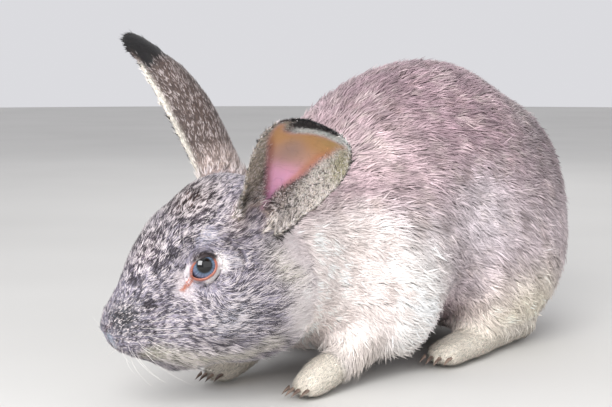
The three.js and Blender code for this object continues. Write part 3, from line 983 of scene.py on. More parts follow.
# %% Colours of the ears and feet
ears = spread(on_ears, 2)
rim = ears * step(0.80, 0.92, np.abs(ear_across)) * (1 - step(0.80, 0.88, ear_share))
mark(ears, "5c4d48")
mark(ears * step(0.34, 0.12, ear_share), "c0aca4")  # paler root
mark(rim * step(0.02, 0.2, ear_across * (right_ear - left_ear)), "e9e2d6")
mark(rim * left_ear, "b0a59c", 0.8)
between_rims = step(-0.95, -0.8, ear_across) * step(0.9, 0.75, ear_across)
black_tip = np.maximum(between_rims, step(0.88, 0.93, ear_share)) * step(0.75, 0.79, ear_share)
mark(black_tip * right_ear, "151314")

# The left ear's hollow side: pale hair along both edges, a pale band, and the black tip
mark(left_ear * ear_inside * step(0.2, 0.5, ear_across), "ece2d8", 0.9)
mark(left_ear * ear_inside * step(-0.4, -0.6, ear_across), "b5a897", 0.9)
mark(left_ear * ear_inside * spot(ear_flat, (0.8, 0.72), (0.35, 0.25)), "b3ac84", 0.9)
mark(left_ear * step(band_from - 0.03, band_from, ear_share) * step(-0.5, -0.2, ear_across), "e6e8e4")
mark(left_ear * step(tip_from - 0.015, tip_from + 0.01, ear_share), "100e12")
mark(left_ear * step(0.65, 0.8, ear_share) * step(0.93, 0.98, ear_across), "100e12")

# The bare hollow: pink flesh at the root, and towards the tip salmon, tan, orange and olive, a painted
# glow of light shining through the thin ear
hollow = ears * bare_ear
mark(hollow, "f6b4d4")
mark(hollow * step(0.33, 0.55, ear_share), "cfa090")
mark(hollow * step(0.5, 0.72, ear_share), "c6945a", 0.85)
mark(hollow * step(0.60, 0.95, ear_share) * step(-0.2, 0.7, ear_across), "a59a5c", 0.7)
mark(hollow * spot(ear_flat, (-0.15, 0.58), (0.4, 0.2)), "ad8f86", 0.8)
mark(hollow * step(0.26, 0.05, ear_share), "a2509a", 0.7)
edge = step(0.22, 0.04, ear_limit - np.abs(ear_across)) * step(0.85, 0.6, ear_share)
mark(hollow * edge * step(0.0, 0.2, ear_across), "cc8358", 0.8)
mark(hollow * edge * step(0.0, -0.2, ear_across), "7d3426", 0.85)

mark(spread(on_paws, 5), "e4dbcd")
mark(spread(on_legs, 6), "d8ccc4", 0.8)
# painted shade in the grooves of the nostrils, the cleft and the mouth
mark(folds, "8d6f74", 0.6)
mark(spread(on_tail, 4) * step(0.2, -0.4, skin_normals[:, 1]), "efeae4", 0.8)  # white below the tail

print("mean colour of the ears:", paint[on_ears > 0.5].mean(0).round(3))

# %% [markdown]
# ## Lines of the face, and the ticking
#
# A few thin lines make the face: painted shade along the fold behind the eye and the crease below the
# cheek, the moist line at the eye's front corner, and dark ticks on the brow. The ticking itself is a
# chance for each tuft, given here as the shares of black and of pale ones. It is boldest on the
# forehead and the ears, and faint on the body, where the tips of the hair run together.

# %% Lines of the face, and the ticking
CREASE = [(27, 16, 6)] + CHEEK_FOLD
TEAR = [(24, -10.2, -2.3), (22.3, -11.6, -3.4), (21.5, -13.4, -4.3), (20.2, -16.4, -5.4)]
BROW_TICKS = (
    ((7, -37, 12), (8.5, -34, 13.5), (12, -35, 8)),
    ((16.3, -24.4, 11), (18.8, -20, 12.2), (22.7, -10.8, 16.1)),
    ((15, -39, -1), (15.5, -35, -3)),
    ((16.5, 1, 26), (19.5, 6.6, 24.6), (23.2, 13.8, 20.1)),
)
EAR_TICKS = (  # middle and reach, across and along the left ear
    ((-0.8, 0.3), (0.45, 0.4)),
    ((-0.1, 0.05), (0.7, 0.12)),
    ((0.6, 0.3), (0.3, 0.3)),
)

# Painted shade along the fold behind the eye and along the crease below the cheek
mark(on_head * step(3.0, 1.2, line_distance(face_place, CREASE)), "3d363e", 0.85)
mark(on_head * step(3.5, 1.0, line_distance(face_place, JOWL_FOLD)), "6a6668", 0.6)
from_tear = line_distance(face_place, TEAR)
mark(on_head * step(1.7, 0.9, from_tear), "c47a64")
tuft_number *= 1 - on_head * step(3.4, 2.0, from_tear)
tuft_length *= 1 - 0.5 * on_head * step(7, 3, from_tear)

# Shares of the tufts that are black and that are pale, and how far both stand out from the rest
bridge = head_share * spot(face_place, (9, -14, 20), (22, 36, 22))
crown = head_share * spot(face_place, (10, 18, 28), (30, 26, 20))
muzzle = head_share * spot(face_place, (12, -48, -6), (20, 20, 20))
black = 0.05 + 0.26 * head_share + 0.28 * bridge + 0.26 * crown + 0.22 * muzzle + 0.36 * ears
pale = 0.06 + 0.20 * head_share + 0.20 * bridge + 0.12 * crown + 0.02 * muzzle + 0.28 * ears
for line in BROW_TICKS:
    on_line = on_head * step(2.8, 0.8, line_distance(face_place, line))
    mark(on_line, "3c3439", 0.6)
    black += 0.7 * on_line
    pale -= 0.3 * on_line
for at, reach in EAR_TICKS:
    black += 0.5 * left_ear * spot(ear_flat, at, reach)
light_skin = paint.mean(1)
black = black * np.maximum(step(0.75, 0.4, light_skin), 0.9 * left_ear * ear_inside)
black = black * (1 - hollow)
pale = pale * step(0.01, 0.06, light_skin) * (1 - hollow)
bold = 0.12 + 0.78 * head_share + 0.4 * bridge + 0.3 * crown + 0.3 * muzzle
bold = np.clip(bold + 0.8 * left_ear + 0.35 * right_ear, 0, 1)
print("tufts that are black:", black.mean().round(2), "and pale:", pale.mean().round(2))

# %% [markdown]
# ## Tufts
#
# A tuft of the body is a thin spindle: a root in the skin, three points round its middle, and a tip,
# which makes six small faces and a closed solid. It leaves the skin at a slant and then bends down
# along it. On the head, ears, legs and feet a simpler, straight blade of four faces is enough. All the
# tufts of a region are made as one mesh, from long arrays of roots, directions and sizes, which is
# the only practical way to make three hundred thousand of them.
#
# Neighbouring hairs cling together in locks. So each tuft leans towards the middle of its own small
# cell of space, and shares that cell's shade: that gives the soft dapple of a thick coat.

# %% Paint the lids, and lay skin and lids together as the ground for the tufts
LID_SHADE = 0.85  # of the colour of the skin beside it
UNDERSIDE = 6.4  # the rows of the section past this one lie under the skin
LID_COAT = {"length": 3.0, "width": 0.40, "rise": 15.0, "pale": 0.15, "bold": 0.6, "part": PART["head"]}


def nearest_corner(points):
    """For each point, a corner of the nearest face of the skin."""
    faces = [skin_tree.find_nearest(Vector(point))[2] for point in points]
    return np.array([skin.data.polygons[face].vertices[0] for face in faces])


def round_from(angle, start):
    """The way round to an angle from a start, from minus half a turn to half a turn."""
    return (angle + math.pi - start) % (2 * math.pi) - math.pi


def lid_fields(lid, side):
    """Colours of a lid's points, and where hair grows on it."""
    points = positions(lid)
    section = np.empty(len(points))
    lid.data.attributes["section"].data.foreach_get("value", section)
    radius, angle, height = round_eye(in_head(points), side)
    out = radius - opening(angle)
    above = step(math.radians(18), math.radians(40), angle)
    above = above * step(math.radians(180), math.radians(150), angle)
    behind = step(1.3, 0.9, np.abs(round_from(angle, -0.35)))
    around = round_from(angle, 0)
    before = step(1.9, 2.6, np.abs(around)) * step(0.4, -0.2, around)
    tear_share = step(2.0, 1.0, line_distance(mirrored(in_head(points)), TEAR))
    tone = paint[nearest_corner(points)] * LID_SHADE
    tone = toward(tone, colour("f4ecec"), behind * step(1.4, 2.2, out))  # white behind the eye
    tone = toward(tone, colour("efe6ea"), before * step(1.6, 2.4, out))  # white in front of it
    tone = toward(tone, colour("a0604f"), step(1.9, 1.3, out))  # wet edge
    # dark lashes and painted shade along the upper lid
    tone = toward(tone, colour("2b2022"), above * step(4.2, 2.6, out))  # dark upper lid
    tone = toward(tone, colour("b9664f"), tear_share)
    grown = step(1.5, 2.3, out) * (height > 0) * (section < UNDERSIDE)
    return tone, grown * (1 - tear_share)


def flow_on(points, ups, side):
    """The lie of the hair on a lid: with the skin's, and away from the eye."""
    at, gaze, _, _ = eye_frame(side)
    away = in_head(points) - at
    outward = turned(unit(away - np.outer(away @ gaze, gaze)))
    return flattened(lie[nearest_corner(points)] + 0.6 * outward, ups)


def triangles_of(piece):
    """The corners of every triangle of a piece."""
    piece.data.calc_loop_triangles()
    flat = np.empty(len(piece.data.loop_triangles) * 3, int)
    piece.data.loop_triangles.foreach_get("vertices", flat)
    return flat.reshape(-1, 3)


ground = {
    "place": place,
    "normal": skin_normals,
    "lie": lie,
    "length": tuft_length,
    "width": tuft_width,
    "rise": tuft_rise,
    "number": tuft_number,
    "paint": paint,
    "black": black,
    "pale": pale,
    "bold": bold,
    "part": part,
}
triangles = triangles_of(skin)
lid_paint = {}
for side, name in ((1, "left"), (-1, "right")):
    lid = eyelids[name]
    tone, grown = lid_fields(lid, side)
    lid_paint[name] = tone
    points, ups = positions(lid), normals(lid)
    triangles = np.concatenate([triangles, triangles_of(lid) + len(ground["place"])])
    own = {key: np.full(len(points), value) for key, value in LID_COAT.items()}
    own["place"] = points
    own["normal"] = ups
    own["lie"] = flow_on(points, ups, side)
    own["number"] = 8.0 * grown
    own["paint"] = tone
    own["black"] = 0.22 * step(0.6, 0.3, tone.mean(1))
    ground = {key: np.concatenate([ground[key], own[key]]) for key in ground}
print("ground:", len(ground["place"]), "points,", len(triangles), "triangles")

# %% Grow the roots
GROWTH_SEED = 20
random = np.random.default_rng(GROWTH_SEED)

edge_a = ground["place"][triangles[:, 1]] - ground["place"][triangles[:, 0]]
edge_b = ground["place"][triangles[:, 2]] - ground["place"][triangles[:, 0]]
area = length_of(np.cross(edge_a, edge_b)) / 2 / MM**2
expected = area * ground["number"][triangles].mean(1)
tufts_here = random.poisson(expected)
chosen = np.repeat(np.arange(len(triangles)), tufts_here)
shares = random.random((len(chosen), 2))
over = shares.sum(1) > 1
shares[over] = 1 - shares[over]
shares = np.column_stack([1 - shares.sum(1), shares])
corners = triangles[chosen]


def at_roots(key):
    """A value of the ground's points, read at every root."""
    values = ground[key]
    flat = values.reshape(len(values), -1)
    mixed = sum(flat[corners[:, k]] * shares[:, k, None] for k in range(3))
    return mixed[:, 0] if values.ndim == 1 else mixed


root_part = ground["part"][corners[:, 0]]
root_place = at_roots("place")
root_normal = unit(at_roots("normal"))
root_lie = at_roots("lie")
print("tufts:", len(root_part), {name: int((root_part == PART[name]).sum()) for name in FLESH})

# %% Shape and shade of every tuft
def lock(points, size, seed):
    """The middle of the lock that each point belongs to, and the lock's own shade from -1 to 1."""
    cell = np.floor(points / size)
    offset = np.column_stack([scatter(cell, seed + k) for k in range(3)]) - 0.5
    return (cell + 0.5 + 0.5 * offset) * size, 2 * scatter(cell, seed + 7) - 1


def varied(spread_by):
    """A random number for every tuft, round 0, without far outliers."""
    return np.clip(random.normal(0, spread_by, count), -2.5 * spread_by, 2.5 * spread_by)


def clumped(key, low, high, most):
    """A share of ticked tufts, read at every root and gathered into clumps."""
    return np.clip(at_roots(key) * (0.25 + 1.6 * step(low, high, clumps)), 0, most)


FINE_LOCK, BROAD_LOCK = 0.0035, 0.011  # metres, on the short coat and on the long one
ROOT_UNDER = 0.0004  # metres below the skin
TO_BEND = 0.46  # of a tuft's length
MOST_BLACK, MOST_PALE = 0.92, 0.8  # shares of the tufts, even in a clump

count = len(root_part)
draw = random.random(count)
clumps = patches(root_place, 0.0013, 5) + 0.3 * patches(root_place, 0.003, 6)
ticked_black = draw < clumped("black", -0.15, 0.3, MOST_BLACK)
ticked_pale = (draw > 1 - clumped("pale", 0.15, -0.3, MOST_PALE)) & ~ticked_black
ticked = ticked_black | ticked_pale
length = at_roots("length") * np.exp(varied(0.16)) * MM
width = at_roots("width") * np.exp(varied(0.15)) * (1 + 0.4 * ticked) * MM
rise = np.radians(at_roots("rise")) * np.exp(varied(0.2)) * (1 + 0.25 * ticked)
on_long = step(0.007, 0.011, length)

fine_middle, fine_shade = lock(root_place, FINE_LOCK, 31)
broad_middle, broad_shade = lock(root_place, BROAD_LOCK, 53)
lock_middle = np.where(on_long[:, None] > 0.5, broad_middle, fine_middle)
lock_shade = np.where(on_long > 0.5, broad_shade, fine_shade)

swirl = 0.26 * patches(root_place, 0.030, 3) + 0.26 * patches(root_place, 0.012, 4)
swirl = swirl + varied(0.2)
across_lie = np.cross(root_normal, root_lie)
direction = unit(root_lie * np.cos(swirl)[:, None] + across_lie * np.sin(swirl)[:, None])
gather = lock_middle - root_place
gather = gather - root_normal * (gather * root_normal).sum(1)[:, None]
gather = gather - direction * (gather * direction).sum(1)[:, None]

first = direction * np.cos(rise)[:, None] + root_normal * np.sin(rise)[:, None]
late_rise = rise * 0.30
second = direction * np.cos(late_rise)[:, None] + root_normal * np.sin(late_rise)[:, None]
base = root_place - root_normal * ROOT_UNDER
bend = base + first * (length * TO_BEND)[:, None] + gather * 0.25
point = bend + second * (length * (1 - TO_BEND))[:, None] + gather * 0.35
sidewards = unit(np.cross(point - bend, root_normal))
ridge = unit(np.cross(sidewards, point - base))

main = at_roots("paint")
ripple = patches(root_place * (1, 1.8, 1), 0.009, 8) + 0.9 * patches(root_place, 0.0045, 9)
shade = 0.07 * lock_shade + (0.07 + 0.14 * on_long) * ripple + 0.04 * patches(root_place, 0.045, 9)
shade = shade + varied(0.06)
contrast = 1.0 + 0.5 * step(0.75, 0.4, main.mean(1))
main = main * np.exp(shade * contrast)[:, None]
bold = at_roots("bold")[:, None]
dark = colour("211c20") * np.exp(varied(0.3))[:, None]
dark = dark * bold + 0.62 * main * (1 - bold)
light = colour("e3d9d9") * np.exp(varied(0.12))[:, None]
light = light * bold + 1.2 * main * (1 - bold)
is_black, is_pale = ticked_black[:, None], ticked_pale[:, None]
tip_colour = np.where(is_black, dark, np.where(is_pale, light, main * 1.04))
mid_colour = np.where(is_black, 0.65 * dark + 0.35 * main, tip_colour * 0.5 + main * 0.5)
slate = main * (0.6 + 0.25 * step(0.4, 0.75, main.mean(1)))[:, None]
print("mean length", (length.mean() / MM).round(1), "mm; black", ticked_black.mean().round(2))

# %% [markdown]
# ## The coat's pieces, and the map for its colours
#
# The coat is kept as pieces of manageable size: the face, each ear, the back, the flanks and so on.
# Each piece has a map that lays the skin's own shape out flat, by place along the body and angle
# round it, or along and across an ear. Every tuft is a small patch of that map, at its root's place,
# so that a colour baked into it never mixes with a tuft from somewhere else.

# %% Regions
MOST_FACES = 196000  # of one piece
BACK_FROM = 135  # mm above the floor
CROWN_FROM = 4  # mm behind the eyes' middle

root_head = in_head(root_place)
root_body = root_place / MM - BODY_AT
belongs = {name: root_part == number for name, number in PART.items()}
LIMBS = [name for name in FLESH if name.startswith(("fore", "hind"))]
on_left = root_body[:, 0] > 0
on_back = root_body[:, 2] >= BACK_FROM
on_crown = root_head[:, 1] >= CROWN_FROM

region = np.full(count, "", dtype="U24")
region[belongs["trunk"] & on_left & ~on_back] = "coat_flank_left"
region[belongs["trunk"] & ~on_left & ~on_back] = "coat_flank_right"
region[belongs["trunk"] & on_back] = "coat_back"
region[belongs["neck"]] = "coat_neck"
region[belongs["head"] & ~on_crown] = "coat_face"
region[belongs["head"] & on_crown] = "coat_crown"
region[belongs["tail"]] = "coat_tail"
for name in EAR_LINES:
    region[belongs["ear_" + name]] = "coat_ear_" + name
    region[belongs["haunch_" + name]] = "coat_haunch_" + name
for name in LIMBS:
    region[belongs[name]] = "coat_legs"
print({str(name): int((region == name).sum()) for name in np.unique(region)})

# %% Flat maps
PATCH = 0.003  # width of the map's patch for one tuft
BODY_AXIS = (92, -215, 190)  # height, and ends from front to back, in the body's millimetres
HEAD_AXIS = (-18, -70, 75)  # the same in the head's millimetres
TAIL_MARGIN, LIMB_MARGIN = 5, 8  # mm past each end
BACK_AT, HOLLOW_AT, EAR_SIDE = 0.02, 0.52, 0.46  # starts and width of an ear's two sides on its map
# The limbs share one map of three columns and two rows: margin and inside of a limb's cell
CELL_MARGIN, CELL_INSIDE = 0.04, 0.92


def round_axis(points, across, upward, along, start, end):
    """A flat map of a roundish body: angle round an axis, and share along it."""
    turn = np.arctan2(points[:, across[0]] - across[1], points[:, upward[0]] - upward[1])
    share = (points[:, along] - start) / (end - start)
    return np.column_stack([turn / (2 * math.pi) + 0.5, share])


def box_in_body(name):
    """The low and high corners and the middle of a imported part, in the body's millimetres."""
    low, high = (np.array(corner) / MM - BODY_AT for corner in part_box(name))
    return low, high, (low + high) / 2


flat = round_axis(root_body, (0, 0), (2, BODY_AXIS[0]), 1, *BODY_AXIS[1:])
own = belongs["head"]
flat[own] = round_axis(root_head[own], (0, 0), (2, HEAD_AXIS[0]), 1, *HEAD_AXIS[1:])
own = belongs["tail"]
low, high, centre = box_in_body("tail")
ends = (low[2] - TAIL_MARGIN, high[2] + TAIL_MARGIN)
flat[own] = round_axis(root_body[own], (0, centre[0]), (1, centre[1]), 2, *ends)
for name in EAR_LINES:
    own = np.flatnonzero(belongs["ear_" + name])
    share, across, through, _, _ = along_ear(root_head[own], name)
    half = np.clip((across + 1.1) / 2.2, 0, 1) * EAR_SIDE
    flat[own, 0] = np.where(through > 0.5, HOLLOW_AT + half, BACK_AT + half)
    flat[own, 1] = share
for number, name in enumerate(LIMBS):
    own = belongs[name]
    low, high, centre = box_in_body(name)
    along, upward = (2, 1) if name.startswith("fore_leg") else (1, 2)
    ends = (low[along] - LIMB_MARGIN, high[along] + LIMB_MARGIN)
    cell = round_axis(root_body[own], (0, centre[0]), (upward, centre[upward]), along, *ends)
    column, row = number % 3, number // 3
    flat[own, 0] = (column + CELL_MARGIN + CELL_INSIDE * np.clip(cell[:, 0], 0, 1)) / 3
    flat[own, 1] = (row + CELL_MARGIN + CELL_INSIDE * np.clip(cell[:, 1], 0, 1)) / 2
flat = 0.005 + 0.99 * np.clip(flat, 0, 1)
print("maps from", flat.min(0).round(3), "to", flat.max(0).round(3))

# %% [markdown]
# ## Materials of the coat and the skin
#
# Fur scatters light softly and shines only a little, so it is rough, with a faint sheen. Its colour
# comes from the markings stored on the mesh, varied by a fine noise. The skin's material adds a bump
# of short hairs, which shows where the tufts let the skin through, and the bare hollows of the ears
# get a blotchy flush and a few blood vessels.

# %% Helpers for materials
def new_material(name, constants):
    """A material with a principled shader, and the constants on the shader's own sockets."""
    material = bpy.data.materials.new(name)
    material.use_nodes = True
    shader = material.node_tree.nodes["Principled BSDF"]
    for socket, value in constants.items():
        shader.inputs[socket].default_value = value
    return material, material.node_tree, shader


def add_node(tree, kind, **values):
    """A node whose inputs and settings are given by name."""
    node = tree.nodes.new("ShaderNode" + kind)
    for name, value in values.items():
        if name in node.inputs:
            node.inputs[name].default_value = value
        else:
            setattr(node, name, value)
    return node


def stored(tree, name, output="Color"):
    """What is stored on the mesh under a name."""
    return add_node(tree, "Attribute", attribute_name=name).outputs[output]


def mixed(tree, first, second, share, blend="MIX"):
    """A colour mixed from two: each may be a socket or a colour."""
    node = add_node(tree, "Mix", data_type="RGBA", blend_type=blend)
    for socket, value in ((node.inputs[0], share), (node.inputs[6], first), (node.inputs[7], second)):
        if isinstance(value, bpy.types.NodeSocket):
            tree.links.new(value, socket)
        else:
            socket.default_value = value
    return node.outputs[2]


def noise(tree, scale, detail=3.0, stretch=None):
    """Noise on the object's own coordinates."""
    where = add_node(tree, "TexCoord").outputs["Object"]
    if stretch:
        mapping = add_node(tree, "Mapping", Scale=stretch)
        tree.links.new(where, mapping.inputs["Vector"])
        where = mapping.outputs["Vector"]
    texture = add_node(tree, "TexNoise", Scale=scale, Detail=detail)
    tree.links.new(where, texture.inputs["Vector"])
    return texture.outputs["Fac"]


def ramp(tree, value, *stops):
    """A value turned into a colour by stops, each a place with a grey or a colour."""
    node = add_node(tree, "ValToRGB")
    elements = node.color_ramp.elements
    while len(elements) < len(stops):
        elements.new(0.5)
    for element, (at, tone) in zip(elements, stops):
        element.position = at
        element.color = (*np.broadcast_to(tone, 3), 1)
    tree.links.new(value, node.inputs["Fac"])
    return node.outputs["Color"]


def bumped(tree, shader, height, strength, distance):
    """Gives a shader a bump from a height; the distance is in metres."""
    bump = add_node(tree, "Bump", Strength=strength, Distance=distance)
    tree.links.new(height, bump.inputs["Height"])
    tree.links.new(bump.outputs["Normal"], shader.inputs["Normal"])


# %% Fur and skin materials
FUR_FINISH = {"Roughness": 0.72, "Specular IOR Level": 0.25, "Sheen Weight": 0.12}
SKIN_FINISH = {
    "Roughness": 0.6,
    "Specular IOR Level": 0.3,
    "Subsurface Weight": 0.08,
    "Subsurface Scale": 0.002,
}


def fur_material():
    material, tree, shader = new_material("rabbit_fur", FUR_FINISH)
    strands = ramp(tree, noise(tree, 1400, 2), (0.3, 0.82), (0.7, 1.0))
    fur = mixed(tree, stored(tree, "markings"), strands, 1.0, "MULTIPLY")
    tree.links.new(fur, shader.inputs["Base Color"])
    return material


def skin_material():
    material, tree, shader = new_material("rabbit_skin", SKIN_FINISH)
    markings = stored(tree, "markings")
    wool = ramp(tree, noise(tree, 900, 4), (0.35, 0.55), (0.65, 1.0))
    furred = mixed(tree, markings, wool, 1.0, "MULTIPLY")
    veins = ramp(tree, noise(tree, 55, 3, (1, 1, 3.5)), (0.47, 1.0), (0.5, 0.80), (0.53, 1.0))
    flush = ramp(tree, noise(tree, 40, 2), (0.3, 0.86), (0.7, 1.0))
    flesh = mixed(tree, mixed(tree, markings, veins, 0.5, "MULTIPLY"), flush, 1.0, "MULTIPLY")
    bare = stored(tree, "bare", "Fac")
    tree.links.new(mixed(tree, furred, flesh, bare), shader.inputs["Base Color"])
    bumped(tree, shader, noise(tree, 1100, 3), 0.25, 0.0006)
    return material


FUR = fur_material()
SKIN = skin_material()
print("materials:", FUR.name, "and", SKIN.name)

# %% Dress the skin
SKIN_SHADE = 0.8  # of the tufts' colour, for the shade between their roots


def store_colour(piece, name, colours):
    """Writes a colour for every point of a piece."""
    layer = piece.data.attributes.new(name, "FLOAT_COLOR", "POINT")
    layer.data.foreach_set("color", np.column_stack([colours, np.ones(len(colours))]).ravel())


store_colour(skin, "markings", np.clip(paint * SKIN_SHADE, 0, 1))
bare_layer = skin.data.attributes.new("bare", "FLOAT", "POINT")
bare_layer.data.foreach_set("value", np.clip(hollow, 0, 1))
skin.data.materials.clear()
skin.data.materials.append(SKIN)
only(skin)
bpy.ops.object.shade_smooth()
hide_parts(*FLESH)
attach(skin, "root")
print("skin dressed:", len(triangles_of(skin)), "triangles")

# %% Build the coat
BENT_FACES = np.array(((0, 1, 2), (0, 2, 3), (0, 3, 1), (4, 2, 1), (4, 3, 2), (4, 1, 3)))
STRAIGHT_FACES = np.array(((0, 1, 2), (0, 2, 3), (2, 1, 3), (1, 0, 3)))
BENT_FLAT = ((0, -0.5), (-0.5, 0), (0.5, 0), (0, 0.1), (0, 0.5))  # their corners on the map
STRAIGHT_FLAT = ((-0.5, -0.5), (0.5, -0.5), (0, -0.3), (0, 0.5))
STRAIGHT = ("coat_face", "coat_crown", "coat_ear_left", "coat_ear_right", "coat_legs")
THICKNESS = 0.28  # of a tuft's width
SIDE_TILT, TIP_TILT = 0.7, 0.25  # of a tuft's normals, away from the skin's
FLOOR_GAP = 0.0008  # metres over the floor, below which hair is pressed together


def above_floor(points):
    """Points with those near the floor or under it pressed together just over it."""
    height = points[..., 2]
    pressed = FLOOR_GAP * np.exp(np.minimum(height - FLOOR_GAP, 0) / FLOOR_GAP)
    points[..., 2] = np.where(height < FLOOR_GAP, pressed, height)
    return points


def tufts(name, own, straight):
    """One mesh of all the tufts of a region: straight blades, or spindles with a bend."""
    half = (sidewards[own].T * width[own] / 2).T
    top = (ridge[own].T * width[own] * THICKNESS).T
    up = root_normal[own]
    left = unit(up - SIDE_TILT * sidewards[own])
    right = unit(up + SIDE_TILT * sidewards[own])
    forward = unit(up + TIP_TILT * unit(point[own] - base[own]))
    shape = STRAIGHT_FACES if straight else BENT_FACES
    flat_shape = STRAIGHT_FLAT if straight else BENT_FLAT
    widest = base[own] if straight else bend[own]
    points = [widest - half, widest + half, widest + top, point[own]]
    tones = [mid_colour[own], mid_colour[own], mid_colour[own], tip_colour[own]]
    looks = [left, right, up, forward]  # normals, which soften the tuft's own shade
    if not straight:
        points.insert(0, base[own])
        tones.insert(0, slate[own])
        looks.insert(0, up)
    points = above_floor(np.stack(points, 1))
    corners = points.shape[1]
    faces = shape[None] + corners * np.arange(len(own))[:, None, None]
    mesh = bpy.data.meshes.new(name)
    mesh.vertices.add(len(own) * corners)
    mesh.vertices.foreach_set("co", points.ravel())
    mesh.loops.add(faces.size)
    mesh.loops.foreach_set("vertex_index", faces.ravel())
    mesh.polygons.add(faces.size // 3)
    mesh.polygons.foreach_set("loop_start", np.arange(0, faces.size, 3))
    mesh.update(calc_edges=True)

    piece = linked(name, mesh)
    store_colour(piece, "markings", np.clip(np.stack(tones, 1).reshape(-1, 3), 0, 1))
    spots = flat[own][:, None, :] + np.array(flat_shape)[None] * PATCH
    layer = mesh.uv_layers.new(name="OFBake")
    layer.uv.foreach_set("vector", spots.reshape(-1, 2)[faces.ravel()].ravel())
    mesh.polygons.foreach_set("use_smooth", [True] * len(mesh.polygons))
    mesh.normals_split_custom_set_from_vertices(np.stack(looks, 1).reshape(-1, 3))
    mesh.materials.append(FUR)
    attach(piece, "root")
    return piece


coat = []
for name in np.unique(region):
    own = np.flatnonzero(region == name)
    own = own[np.argsort(root_place[own, 1], kind="stable")]
    straight = name in STRAIGHT
    each = len(STRAIGHT_FACES if straight else BENT_FACES)
    lots = np.array_split(own, math.ceil(len(own) * each / MOST_FACES))
    for number, lot in enumerate(lots):
        coat.append(tufts(str(name) if len(lots) == 1 else f"{name}_{number + 1}", lot, straight))
print("coat:", len(coat), "pieces,", sum(len(piece.data.polygons) for piece in coat), "triangles")

# %% [markdown]
# ## Lids' finish
#
# The lids carry their own colours: a wet, salmon-coloured edge, an upper lid painted dark for its
# lashes and the shade under them, and short pale fur outside. Wet flesh is much smoother than fur, so
# the roughness follows the section.

# %% Lids' material
LID_FINISH = {"Specular IOR Level": 0.5, "Subsurface Weight": 0.1, "Subsurface Scale": 0.002}
WET_TO_DRY = {"From Min": 2.0, "From Max": 3.5, "To Min": 0.22, "To Max": 0.75}  # section, roughness


def lid_material():
    material, tree, shader = new_material("lid_skin", LID_FINISH)
    grain = ramp(tree, noise(tree, 1500, 3), (0.3, 0.82), (0.7, 1.0))
    lid_colour = mixed(tree, stored(tree, "markings"), grain, 1.0, "MULTIPLY")
    tree.links.new(lid_colour, shader.inputs["Base Color"])
    roughness = add_node(tree, "MapRange", **WET_TO_DRY)
    tree.links.new(stored(tree, "section", "Fac"), roughness.inputs["Value"])
    tree.links.new(roughness.outputs["Result"], shader.inputs["Roughness"])
    bumped(tree, shader, noise(tree, 1300, 3), 0.2, 0.0003)
    return material


LID = lid_material()
for name, lid in eyelids.items():
    store_colour(lid, "markings", np.clip(lid_paint[name], 0, 1))
    lid.data.materials.clear()
    lid.data.materials.append(LID)
    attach(lid, "root")
    print(lid.name, len(lid.data.polygons), "faces")

# %% [markdown]
# ## Eyes
#
# The eyeball is a sphere turned so that its pole looks along the gaze, with the front pushed out a
# little for the cornea. A blue-grey iris with fine spokes lies round a large dark pupil. Each point
# remembers its place across the eye, and the material turns that into rings. A clear coat on top
# gives the wet shine, in which the studio's window is mirrored.

# %% Eyeballs
CORNEA_OUT = 0.5  # mm beyond the ball
CORNEA_FROM = 0.45  # height along the gaze, as a share of the radius
PUPIL, IRIS = 0.44, 0.90  # radii, as shares of the ball's
EYE_FINISH = {
    "Roughness": 0.4,
    "Specular IOR Level": 0.0,
    "Coat Weight": 1.0,
    "Coat Roughness": 0.03,
    "Coat IOR": 1.52,
}


def eyeball(name, side):
    """A ball with a cornea, whose points remember their place across it."""
    sphere = bpy.ops.mesh.primitive_uv_sphere_add
    ball = primitive(name, sphere, segments=64, ring_count=40, radius=EYE_RADIUS)
    at, gaze, tailward, upward = eye_frame(side)
    points = positions(ball)
    front = points[:, 2] / EYE_RADIUS
    points = points * (1 + CORNEA_OUT / EYE_RADIUS * step(CORNEA_FROM, 1.0, front))[:, None]
    across = points / EYE_RADIUS
    placed = at + np.outer(points[:, 0], tailward) + np.outer(points[:, 1], upward)
    set_positions(ball, from_head(placed + np.outer(points[:, 2], gaze)))
    edit_whole(ball, bpy.ops.mesh.normals_make_consistent, inside=False)
    layer = ball.data.attributes.new("across", "FLOAT_VECTOR", "POINT")
    layer.data.foreach_set("vector", across.ravel())
    bpy.ops.object.shade_smooth()
    return ball


def eye_material():
    material, tree, shader = new_material("rabbit_eye", EYE_FINISH)
    across = stored(tree, "across", "Vector")
    parts = add_node(tree, "SeparateXYZ")
    tree.links.new(across, parts.inputs["Vector"])
    flat_place = add_node(tree, "CombineXYZ")
    tree.links.new(parts.outputs["X"], flat_place.inputs["X"])
    tree.links.new(parts.outputs["Y"], flat_place.inputs["Y"])
    radius = add_node(tree, "VectorMath", operation="LENGTH")
    tree.links.new(flat_place.outputs["Vector"], radius.inputs[0])
    spokes = add_node(tree, "VectorMath", operation="NORMALIZE")
    tree.links.new(flat_place.outputs["Vector"], spokes.inputs[0])
    fibres = add_node(tree, "TexNoise", Scale=9, Detail=4)
    tree.links.new(spokes.outputs["Vector"], fibres.inputs["Vector"])
    clouds = add_node(tree, "TexNoise", Scale=2.4)
    tree.links.new(across, clouds.inputs["Vector"])
    rings = ramp(
        tree,
        radius.outputs["Value"],
        (PUPIL - 0.02, colour("020304")),
        (PUPIL + 0.02, colour("1c2730")),
        (0.54, colour("50667a")),
        (0.70, colour("68708a")),
        (IRIS - 0.12, colour("3a4054")),
        (IRIS - 0.03, colour("0c0d12")),
        (IRIS + 0.08, colour("1a1416")),
    )
    streaks = ramp(tree, fibres.outputs["Fac"], (0.35, 0.55), (0.65, 1.25))
    warm = ramp(tree, clouds.outputs["Fac"], (0.4, (1.0, 1.0, 1.0)), (0.65, (1.0, 0.86, 0.92)))
    iris = mixed(tree, mixed(tree, rings, streaks, 1.0, "MULTIPLY"), warm, 1.0, "MULTIPLY")
    tree.links.new(iris, shader.inputs["Base Color"])
    return material


